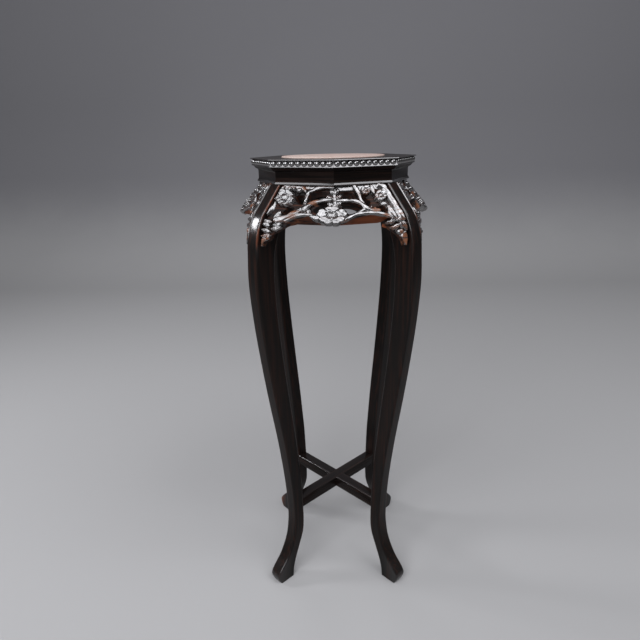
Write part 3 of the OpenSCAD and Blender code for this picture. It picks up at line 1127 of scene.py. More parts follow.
        post_ring = np.stack([post, across, np.full_like(post, top)], axis=-1)
        post_top = post_ring + np.array([0.0, 0.0, self.levels.rail - top])
        rings = np.concatenate([rings, post_ring[None], post_top[None]])
        shape = loft(rings, rings[..., [2, 1, 0]])
        near = is_front * (inside < self.corner) * (1.0 - ease(edge, self.bead_w, self.bead_w + 1.0))
        rubbed = near * np.where(across > 0.0, 1.0, self.left_wear)
        glint = self.glint_wear * np.exp(-((z - self.glint_z) / self.glint_h) ** 2)
        toe = self.toe_wear * (1.0 - ease(z, toe_full, toe_end))
        wear = np.maximum(rubbed * fade[:, None], is_front * glint[:, None]) + is_front * toe[:, None]
        shape.wear = np.concatenate([wear, np.zeros((2, len(across)))]).ravel()
        return shape

    def build(self, wood: bpy.types.Material) -> None:
        """Makes the four legs in one finish."""
        leg = self.leg()
        for k, place in enumerate(("front_right", "back_right", "back_left", "front_left")):
            turned = leg.turned(FIRST_LEG + k * QUARTER)
            make_piece(f"curved_leg_{place}", turned, wood, Slot.LACQUER, f"leg_{place}")


@dataclass(frozen=True)
class Stretchers:
    """Two crossed bars between the ankles, halved over each other in the middle.

    Attributes:
        levels: The frame's levels.
        back: Side view of the legs' backs, which the bars meet.
        width: Width of a bar.
        easing: Easing of its long edges.
        sunk: How far a bar's end reaches into the leg.
        edge_wear: How rubbed the upper edges are.
        top_wear: How rubbed the top is.
    """

    levels: Levels
    back: SideView
    width: float = 24.0
    easing: float = 1.6
    sunk: float = 0.4
    edge_wear: float = 0.6
    top_wear: float = 0.35

    def bar(self, lower: bool) -> Shape:
        """Builds one bar: a square section carried from leg to leg, cut to half its height in the middle.

        Args:
            lower: Whether the bar is notched from above, to lie below the other.

        Returns:
            The bar along the X axis.
        """
        half, low, high = self.width / 2.0, self.levels.stretcher_low, self.levels.stretcher_top
        middle = (low + high) / 2.0
        square = [(-half, low), (half, low), (half, high), (-half, high)]
        y, z = rounded([(*corner, self.easing) for corner in square], 4).T
        cut = np.minimum(z, middle) if lower else np.maximum(z, middle)
        end = self.back.reach(z) + self.sunk
        shares_along = np.linspace(0.0, 1.0, 12)[:, None]
        run = half + (end - half)[None, :] * shares_along
        outer = np.stack(np.broadcast_arrays(run, y, z), axis=-1)
        flip = np.array([-1.0, 1.0, 1.0])
        notch = np.stack(np.broadcast_arrays(half, y, cut), axis=-1)
        rings = np.concatenate([(outer * flip)[::-1], [notch * flip], [notch], outer])
        bar = loft(rings)
        from_edge = np.maximum(half - np.abs(y), half - np.abs(z - middle))
        edge = self.edge_wear * (from_edge < 0.9 * self.easing) * (z > middle)
        bar.wear = np.tile(np.maximum(edge, self.top_wear * (z > high - 0.1)), len(rings))
        return bar

    def build(self, wood: bpy.types.Material) -> None:
        """Makes both bars in one finish."""
        for k, name in enumerate(("stretcher_lower", "stretcher_upper")):
            bar = self.bar(lower=k == 0)
            make_piece(f"eased_{name}", bar.turned(FIRST_LEG + k * QUARTER), wood, Slot.LACQUER, name)


# Carving

# How steeply a carved form falls outside its outline
OUTER_FALL = 3.0


def formed(q: Array, inner: Array, foot: float = 0.0) -> Array:
    """Takes a form's own height where q is under 1, and outside it a steep plane that falls from its foot."""
    return np.where(q < 1.0, inner, foot + OUTER_FALL * (1.0 - q))


class Motif:
    """A carved form on the face. Its height falls away below nought outside its outline."""

    def height(self, s: Array, t: Array) -> Array:
        """Gives the form's height over the face.

        Args:
            s: Places across the face.
            t: Places down the face.

        Returns:
            Heights in millimetres.
        """
        raise NotImplementedError


@dataclass(frozen=True)
class Branch(Motif):
    """A stem along a curve, rounded off at its sides, tapered from one end to the other, with shallow knots.

    Attributes:
        path: Points of its middle line.
        start_r: Radius at its start.
        end_r: Radius at its end.
        lift: Height of its middle line.
        crown: Height of its crown over the lift, as a share of its radius.
        knot: Height of its knots, as a share of its radius.
    """

    path: Array
    start_r: float
    end_r: float
    lift: float = -0.6
    crown: float = 1.0
    knot: float = 0.03

    def height(self, s: Array, t: Array) -> Array:
        """Gives a broad crown that falls with the fourth power of the gap, and a drop beside it."""
        near = beside(self.path, s, t)
        r = self.start_r + (self.end_r - self.start_r) * near.along / near.length
        q = near.gap / r
        knots = self.knot * np.sin(near.along * 0.3 + near.side)
        return self.lift + self.crown * r * (formed(q, 1.0 - q ** 4) + knots * ease(1.0 - q, 0.0, 0.5))


@dataclass(frozen=True)
class Leaf(Motif):
    """A leaf along a curve: widest before its middle, folded along the midrib, with faint side veins.

    Attributes:
        path: Points of the midrib from the stalk to the tip.
        half_w: Half its greatest width.
        rise: Height of the fold over the lift.
        lift: Height of its rim.
        rib_depth: Depth of the score along the midrib.
        vein_depth: Depth of the side veins.
        vein_gap: Distance from vein to vein.
    """

    path: Array
    half_w: float
    rise: float = 2.6
    lift: float = 0.4
    rib_depth: float = 0.5
    vein_depth: float = 0.06
    vein_gap: float = 3.6

    def height(self, s: Array, t: Array) -> Array:
        """Gives two planes that fall from a scored midrib, with veins that slant to the tip."""
        near = beside(self.path, s, t)
        u = near.along / near.length
        w = self.half_w * np.clip(np.sin(np.pi * (0.06 + 0.92 * u ** 0.85)), 0.05, None)
        q = near.gap / w
        blade = self.rise * formed(q, 1.0 - 0.35 * q - 0.65 * q ** 6)
        rib = self.rib_depth * np.exp(-(near.gap / 0.6) ** 2) * ease(1.0 - u, 0.0, 0.25)
        slant = 2.0 * np.pi * (near.along - 0.8 * near.gap) / self.vein_gap
        veins = self.vein_depth * np.sin(slant) * ease(1.0 - q, 0.0, 0.4)
        return self.lift + blade - rib + veins * (near.gap > 0.9)


@dataclass(frozen=True)
class Bud(Motif):
    """An oval bud with two seams from end to end.

    Attributes:
        s: Place of its middle across the face.
        t: Place of its middle down the face.
        long_r: Half its length.
        short_r: Half its width.
        turn: Turn of its length from across the face, in degrees.
        rise: Height of its crown.
        seam_depth: Depth of its seams.
    """

    s: float
    t: float
    long_r: float
    short_r: float
    turn: float = 0.0
    rise: float = 4.6
    seam_depth: float = 0.5

    def height(self, s: Array, t: Array) -> Array:
        """Gives a dome that falls with the third power of the share of its radius, less its seams."""
        c, d = math.cos(math.radians(self.turn)), math.sin(math.radians(self.turn))
        u = ((s - self.s) * c + (t - self.t) * d) / self.long_r
        v = ((t - self.t) * c - (s - self.s) * d) / self.short_r
        q = np.hypot(u, v)
        seam_at = 0.34 * np.sqrt(np.clip(1.0 - u * u, 0.0, None))
        seams = np.exp(-((np.abs(v) - seam_at) / 0.13) ** 2)
        return self.rise * formed(q, 1.0 - q ** 3) - self.seam_depth * seams * ease(1.0 - q, 0.0, 0.3)


@dataclass(frozen=True)
class Flower(Motif):
    """An open blossom: notched petals that lap over each other, about a raised heart ringed with stamens.

    Attributes:
        s: Place of its heart across the face.
        t: Place of its heart down the face.
        r: Its radius.
        turn: Turn of its first petal, in degrees.
        petals: Count of petals.
        stretch: How much wider than tall it is.
        rise: Height of the petals' rims.
        petal_at: Place of a petal's middle, as a share of the radius, as are the next five.
        petal_long: Half a petal's length.
        petal_wide: Half a petal's width.
        notch: Depth of the notch in a petal's end.
        lap: How much higher one side of a petal is.
        heart_r: Radius of the heart.
    """

    s: float
    t: float
    r: float
    turn: float = 90.0
    petals: int = 5
    stretch: float = 1.0
    rise: float = 4.4
    petal_at: float = 0.60
    petal_long: float = 0.42
    petal_wide: float = 0.50
    notch: float = 0.10
    lap: float = 0.14
    heart_r: float = 0.38

    def height(self, s: Array, t: Array) -> Array:
        """Gives the heart, and round it the nearest petal at each place.

        A petal is a shallow dish with an eased rim, one side higher than the other and a crease on both. The
        heart is a low dome with a ring of stamens, inside a moat.

        Args:
            s: Places across the face.
            t: Places down the face.

        Returns:
            Heights in millimetres.
        """
        r = self.r
        x, y = (s - self.s) / self.stretch, t - self.t
        rho, phi = np.hypot(x, y), np.arctan2(y, x) - math.radians(self.turn)
        step = 2.0 * np.pi / self.petals
        off = phi - np.round(phi / step) * step
        out, over = rho * np.cos(off) - self.petal_at * r, rho * np.sin(off)
        notch = self.notch * r * np.exp(-(over / (0.14 * r)) ** 2) * ease(out, 0.0, 0.35 * r)
        q = np.hypot((out + notch) / (self.petal_long * r), over / (self.petal_wide * r))
        rim = formed(q, 0.9 + 0.1 * q * q - 0.3 * ease(q, 0.85, 1.0), foot=0.7)
        crease = 0.8 * np.exp(-((np.abs(off) - step / 2.0) * rho / (0.05 * r)) ** 2)
        lap = self.lap * over / r * ease(rho, 0.3 * r, 0.6 * r)
        petal = self.rise * (rim + lap) - crease
        heart_q = rho / (self.heart_r * r)
        stamens = 0.35 * np.cos(phi * 3.0 * self.petals) * ease(heart_q, 0.3, 0.6)
        heart = self.rise * (0.62 + 0.38 * np.sqrt(np.clip(1.0 - heart_q ** 2, 0.0, None))) + stamens
        moat = np.exp(-((rho - 0.40 * r) / (0.04 * r + 0.3)) ** 2)
        return np.where(heart_q < 1.0, heart, petal) - moat


@dataclass(frozen=True)
class Band(Motif):
    """A smooth band along the top of the face, which leans out to its upper edge.

    Attributes:
        depth: How far down it reaches.
        top: Height at its upper edge.
        lean: How much lower it lies for each millimetre down.
        fall: How much lower still for each millimetre below its foot.
    """

    depth: float = 11.0
    top: float = 1.4
    lean: float = 0.2
    fall: float = 1.5

    def height(self, s: Array, t: Array) -> Array:
        """Gives a plane that falls slowly to the band's foot and steeply below it."""
        return self.top - self.lean * t - self.fall * np.maximum(t - self.depth, 0.0)


def tool_marks(s: Array, t: Array) -> Array:
    """Gives the shallow waves that the tools leave: two crossed sets of sine waves, 6 to 8 mm apart."""
    depth = 0.045
    across = np.sin(0.72 * s + 0.36 * t)
    down = np.sin(0.95 * t - 0.40 * s + 1.5 * np.sin(0.23 * s))
    return depth * (across + down)


@dataclass(frozen=True)
class Patch:
    """Faces cut from a grid along the line where a field changes sign.

    Attributes:
        s: Places of the corners across the face.
        t: Places of the corners down the face.
        faces: Arrays of corner numbers.
        rim: Pairs of corners along the cut, in the faces' own order.
    """

    s: Array
    t: Array
    faces: list[Array]
    rim: Array


# Outlines of the part of a grid cell where the field is positive, by the corners where it is: a sum of 1, 2,
# 4 and 8 for corners 0 to 3. Numbers 4 to 7 are the places on the edges 0-1, 1-2, 2-3 and 3-0 where the
# field is nought.
CELL_FACES: dict[int, list[tuple[int, ...]]] = {
    1: [(0, 4, 7)], 2: [(1, 5, 4)], 3: [(0, 1, 5, 7)], 4: [(2, 6, 5)], 5: [(0, 4, 7), (2, 6, 5)],
    6: [(1, 2, 6, 4)], 7: [(0, 1, 2, 6, 7)], 8: [(3, 7, 6)], 9: [(0, 4, 6, 3)], 10: [(1, 5, 4), (3, 7, 6)],
    11: [(0, 1, 5, 6, 3)], 12: [(2, 3, 7, 5)], 13: [(0, 4, 5, 2, 3)], 14: [(1, 2, 3, 7, 4)],
    15: [(0, 1, 2, 3)],
}
FIRST_EDGE = 4


def cut_grid(s_axis: Array, t_axis: Array, inside: Callable[[Array, Array], Array]) -> Patch:
    """Fills the part of a grid where a field is positive, with edge points where it is nought.

    Edge points keep a margin from the grid's own corners, so that no face is a sliver.

    Args:
        s_axis: Grid lines across the face.
        t_axis: Grid lines down the face.
        inside: The field.

    Returns:
        The filled part.
    """
    margin = 0.06
    ns, nt = len(s_axis), len(t_axis)
    s, t = (grid.ravel() for grid in np.meshgrid(s_axis, t_axis, indexing="ij"))
    field_at = inside(s, t)
    field_at = np.where(np.abs(field_at) < TINY, TINY, field_at)
    count = ns * nt
    f = field_at.reshape(ns, nt)

    def crossing(first: Array, second: Array) -> Array:
        """Gives the share of the way between two corners at which the field is nought."""
        gap = np.where(first * second < 0.0, first - second, 1.0)
        return np.clip(first / gap, margin, 1.0 - margin)

    step_s = np.zeros((ns, nt))
    step_t = np.zeros((ns, nt))
    step_s[:-1] = crossing(f[:-1], f[1:])
    step_t[:, :-1] = crossing(f[:, :-1], f[:, 1:])
    pitch_s, pitch_t = s_axis[1] - s_axis[0], t_axis[1] - t_axis[0]
    all_s = np.concatenate([s, s + step_s.ravel() * pitch_s, s])
    all_t = np.concatenate([t, t, t + step_t.ravel() * pitch_t])
    i, j = (grid.ravel() for grid in np.meshgrid(np.arange(ns - 1), np.arange(nt - 1), indexing="ij"))
    c0, c1, c2, c3 = i * nt + j, (i + 1) * nt + j, (i + 1) * nt + j + 1, i * nt + j + 1
    cell = np.stack([c0, c1, c2, c3, count + c0, 2 * count + c1, count + c3, 2 * count + c0], axis=1)
    case = ((field_at[cell[:, :4]] > 0.0) * np.array([1, 2, 4, 8])).sum(axis=1)
    faces, rim = [], []
    for number, outlines in CELL_FACES.items():
        chosen = cell[case == number]
        for outline in outlines:
            faces.append(chosen[:, list(outline)])
            pairs = zip(outline, outline[1:] + outline[:1])
            rim.extend(chosen[:, [a, b]] for a, b in pairs if min(a, b) >= FIRST_EDGE)
    used, renumbered = np.unique(np.concatenate([c.ravel() for c in faces]), return_inverse=True)
    sizes = np.cumsum([0] + [c.size for c in faces])
    flat = [renumbered[sizes[k]:sizes[k + 1]].reshape(c.shape) for k, c in enumerate(faces)]
    rim_ids = np.searchsorted(used, np.concatenate(rim))
    return Patch(all_s[used], all_t[used], [c for c in flat if len(c)], rim_ids)


def slab(patch: Patch, front: Array, back: Array, wear: Array, bare: Array, bare_rim: Array) -> Shape:
    """Closes a cut patch into a board: its front, its back and the walls along the cut.

    Args:
        patch: The patch.
        front: Places of its corners on the front.
        back: Places of its corners on the back.
        wear: How rubbed the front is at each corner.
        bare: How thinly the front is finished at each corner.
        bare_rim: How thinly a wall that starts at each corner is finished.

    Returns:
        The board, with its back thinly finished.
    """
    bare_back = 0.3
    count = len(front)
    rear = [c[:, ::-1] + count for c in patch.faces]
    a, b = patch.rim.T
    walls = np.stack([b, a, a + count, b + count], axis=1)
    half = sum(len(c) for c in patch.faces)
    depth = float(np.linalg.norm(front - back, axis=1).mean())
    grain_front = np.stack([patch.s, patch.t, np.zeros(count)], axis=1)
    grain = np.concatenate([grain_front, grain_front - np.array([0.0, 0.0, depth])])
    bare_front = [bare[c].mean(axis=1) for c in patch.faces]
    raw = np.concatenate([*bare_front, np.full(half, bare_back), bare_rim[a]])
    wears = np.concatenate([wear, np.zeros(count)])
    return Shape(np.concatenate([front, back]), [*patch.faces, *rear, walls], grain, wears, raw).outward()


@dataclass
class ApronFace:
    """The leaning face of the aprons: how far out and how high it is, against the way down along it.

    Attributes:
        levels: The frame's levels.
        front: Side view of the legs' fronts.
        setback: How far the middle corner lies behind the legs' reach.
        leg_w: Width of the legs.
        highest: Greatest rise above the waist that is worked out.
        deepest: Greatest drop below the waist that is worked out.
        stations: Count of places worked out between them.
        z: Heights of those places.
        a: Their distances out.
        t: The way down the face to them from the waist.
    """

    levels: Levels
    front: SideView
    setback: float = 10.0
    leg_w: float = 28.0
    highest: float = 8.0
    deepest: float = 125.0
    stations: int = 270
    z: Array = field(init=False)
    a: Array = field(init=False)
    t: Array = field(init=False)

    def __post_init__(self) -> None:
        """Sums the way down the face, from the leg's own side view, carried on straight above the waist."""
        waist, near = self.levels.waist, 2.0
        drop = np.linspace(-self.highest, self.deepest, self.stations)
        self.z = waist - drop
        slope = (self.front.reach(waist) - self.front.reach(waist - near)) / near
        reach = self.front.reach(np.minimum(self.z, waist)) + slope * np.maximum(self.z - waist, 0.0)
        self.a = math.cos(APRON_TURN) * (reach - self.setback)
        steps = np.hypot(np.diff(self.z), np.diff(self.a))
        way = np.concatenate([[0.0], np.cumsum(steps)])
        self.t = way - np.interp(0.0, drop, way)

    def down(self, drop: Array | float) -> Array:
        """Gives the way down the face at a drop below the waist."""
        return np.interp(drop, self.levels.waist - self.z, self.t)

    def places(self, points: Pairs) -> list[tuple[float, float]]:
        """Turns points given by their drop into points on the face."""
        return [(s, float(self.down(drop))) for s, drop in points]

    def out(self, t: Array) -> Array:
        """Gives the distance out of the face itself at a way down it."""
        return np.interp(t, self.t, self.a)

    def over(self, t: Array, h: Array) -> tuple[Array, Array]:
        """Gives places over the face, square to its lean.

        Args:
            t: The way down the face.
            h: The height over it.

        Returns:
            Distance out of the place, and its height in the stand.
        """
        up = np.interp(t, self.t, np.gradient(self.a, self.t))
        out = -np.interp(t, self.t, np.gradient(self.z, self.t))
        return self.out(t) + out * h, np.interp(t, self.t, self.z) + up * h

    def room(self, a: Array) -> Array:
        """Gives the length from the middle mitre to the leg's side at a distance out."""
        return a * (math.tan(APRON_TURN) + math.tan(LEG_TURN)) - self.leg_w / 2.0 / math.cos(LEG_TURN)


@dataclass
class CarvedHalf:
    """One half of an apron: its outline, its openings and what is carved on it.

    Attributes:
        face: The aprons' face.
        half: Which half it is.
        outline: Lower edge from the leg to the middle corner, as distance from that corner and drop.
        openings: Outlines of the pierced places.
        motifs: The carving.
        thickness: Thickness of the board.
        tip_thickness: Its thickness at the leaf points.
        arch_end: Where the arch ends, from the middle corner.
        back_drop: Drop of the straight lower edge of the back, behind the arch.
        arch_bare_and_shade: How bare of finish the underside of the arch is, where a value under 1 darkens it
            as painted shade.
        rubbed: Places where the finish is rubbed through: distance from the middle corner, drop and radius.
        ground: Height of the cut-back ground.
        pitch: Size of a grid cell.
        leg_gap: Gap beside the leg.
        leg_dip: How much lower the carving lies right beside the leg.
        edge_ease: How much lower it lies right at a cut edge.
        top_t: Where the board starts, above the waist's underside.
        reach: Greatest distance from the middle corner.
        lowest: Greatest drop.
    """

    face: ApronFace
    half: Half
    outline: Pairs
    openings: Sequence[Pairs]
    motifs: Sequence[Motif]
    thickness: float = 20.0
    tip_thickness: float = 7.0
    arch_end: float = 78.0
    back_drop: float = 57.0
    arch_bare_and_shade: float = 1.0
    rubbed: Sequence[Triple] = ()
    ground: float = -2.8
    pitch: float = 0.7
    leg_gap: float = 0.2
    leg_dip: float = 2.5
    edge_ease: float = 0.8
    top_t: float = -3.0
    reach: float = 142.0
    lowest: float = 114.0

    def lower_edge(self) -> Array:
        """Draws the lower edge on the face, from the leg to the middle corner."""
        return smooth_curve(self.face.places(self.outline), closed=False)

    def inside(self, s: Array, t: Array) -> Array:
        """Gives how far places lie inside the board, negative outside it and in its openings.

        Args:
            s: Places across the face.
            t: Places down the face.

        Returns:
            The depths.
        """
        edge = self.lower_edge()
        left, right, up = -20.0, 220.0, -30.0
        beyond = [[left, edge[-1, 1]], [left, up], [right, up], [right, edge[0, 1]]]
        depth = depth_inside(np.concatenate([edge, beyond]), s, t)
        for opening in self.openings:
            ring = smooth_curve(self.face.places(opening), closed=True)
            depth = np.minimum(depth, -depth_inside(ring, s, t))
        room = self.face.room(self.face.out(t))
        return np.minimum.reduce([depth, s, t - self.top_t, room - self.leg_gap - s])

    def relief(self, s: Array, t: Array) -> Array:
        """Gives the height of the carving: the highest motif over the ground, rounded off at the cut edges.

        Args:
            s: Places across the face.
            t: Places down the face.

        Returns:
            Heights over the face.
        """
        height = np.full_like(s, self.ground)
        for motif in self.motifs:
            height = np.maximum(height, motif.height(s, t))
        beside_leg = self.face.room(self.face.out(t)) - s
        height = height - self.leg_dip * (1.0 - ease(beside_leg, 0.5, 3.5))
        at_cut = (1.0 - ease(self.inside(s, t), 0.0, 1.4)) * (s > 2.0) * (t > 2.0)
        return height + tool_marks(s, t) - self.edge_ease * at_cut

    def above_arch(self, s: Array, t: Array) -> Array:
        """Gives how far places lie above the arch's lower edge, on the face."""
        edge = self.lower_edge()
        arch = edge[edge[:, 0] < self.arch_end][::-1]
        return np.interp(s, arch[:, 0], arch[:, 1]) - t

    def board(self) -> Shape:
        """Builds the board on the side that faces +X, with its leg end at +Y on right halves.

        The run along the side is measured from the middle mitre and scaled to the room at each depth, so that
        both ends stay flat on the mitre and on the leg. Behind the arch the back ends in a straight line, and
        the leaves below the arch are thin.

        Returns:
            The board.
        """
        s_axis = np.arange(-self.pitch, self.reach, self.pitch)
        t_axis = np.arange(self.top_t - 1.5 * self.pitch, float(self.face.down(self.lowest)), self.pitch)
        patch = cut_grid(s_axis, t_axis, self.inside)
        s, t = np.maximum(patch.s, 0.0), patch.t
        height = self.relief(s, t)
        above = self.above_arch(s, t)
        past_end, fade, blend = 12.0, 14.0, 16.0
        by_arch = ease(self.arch_end + past_end - s, 0.0, fade)
        straight = float(self.face.down(self.back_drop))
        back_t = t + (straight - t - above) * ease(blend - above, 0.0, blend) * by_arch
        depth = self.tip_thickness + (self.thickness - self.tip_thickness) * ease(above, -12.0, -2.0)

        def place(way: Array, h: Array) -> Array:
            """Gives the places of the corners, from the way down the face and the height over it."""
            a, z = self.face.over(way, h)
            y = -a * math.tan(APRON_TURN) + s * self.face.room(a) / self.face.room(self.face.out(way))
            return np.stack([a, y * self.half.value, z], axis=1)

        low_bare, rub_wear, rub_bare = 0.5, 0.95, 0.12
        wear = ease(height, 0.5, 5.0) * (0.4 + 0.6 * ease(-above, 10.0, 30.0))
        bare = low_bare * (1.0 - ease(height - self.ground, 0.3, 1.8))
        for middle, drop, r in self.rubbed:
            away = ((s - middle) ** 2 + (t - float(self.face.down(drop))) ** 2) / r ** 2
            wear = wear + rub_wear * np.exp(-away)
            bare = np.maximum(bare, rub_bare * np.exp(-away))
        # Walls under the arch take its bareness: real bare wood, and on the left half a darker painted shade.
        bare_rim = np.where((above < 1.5) & (by_arch > 0.2), self.arch_bare_and_shade, low_bare)
        return slab(patch, place(t, height), place(back_t, -depth), wear, bare, bare_rim)


@dataclass
class CornerCarving:
    """The blossom and buds that lie over the middle corner of an apron.

    Attributes:
        face: The aprons' face.
        motifs: The carving, with s to the right of the corner.
        cut: Height at which the carving ends.
        root: Height of its back.
        pitch: Size of a grid cell.
        half_w: Half the width that is worked out.
        top_t: Where the carving may start, above the waist's underside.
        lowest: Greatest drop that is worked out.
        turn_over: Half the width in which the two faces bend into each other.
        proud: How far the bend stands in front of where the two faces would meet, as a share of that width.
    """

    face: ApronFace
    motifs: Sequence[Motif]
    cut: float = -0.5
    root: float = -8.0
    pitch: float = 0.55
    half_w: float = 48.0
    top_t: float = -2.0
    lowest: float = 72.0
    turn_over: float = 24.0
    proud: float = 0.55

    def height(self, s: Array, t: Array) -> Array:
        """Gives the height of the highest motif."""
        return np.maximum.reduce([motif.height(s, t) for motif in self.motifs])

    def carving(self) -> Shape:
        """Builds the carving over the corner that faces +X, bent round it.

        Across the corner the two faces bend into each other along a hyperbola, and the carving stands out
        square to it.

        Returns:
            The carving.
        """
        s_axis = np.arange(-self.half_w, self.half_w, self.pitch)
        t_axis = np.arange(self.top_t, float(self.face.down(self.lowest)), self.pitch)
        patch = cut_grid(s_axis, t_axis, lambda s, t: self.height(s, t) - self.cut)
        s, t = patch.s, patch.t
        height = self.height(s, t) + tool_marks(s, t)
        arc = np.sqrt(s * s + self.turn_over ** 2)
        bend = arc - self.turn_over * self.proud
        turn = APRON_TURN * s / arc

        def place(h: Array) -> Array:
            """Gives the places of the corners at a height over the two faces."""
            a, z = self.face.over(t, h)
            flat = self.face.out(t)
            out = a - flat
            x = flat / math.cos(APRON_TURN) - bend * math.sin(APRON_TURN) + out * np.cos(turn)
            return np.stack([x, s * math.cos(APRON_TURN) + out * np.sin(turn), z], axis=1)

        wear = 0.3 * ease(height, 4.0, 8.0)
        none = np.zeros_like(t)
        return slab(patch, place(height), place(none + self.root), wear, none, none)


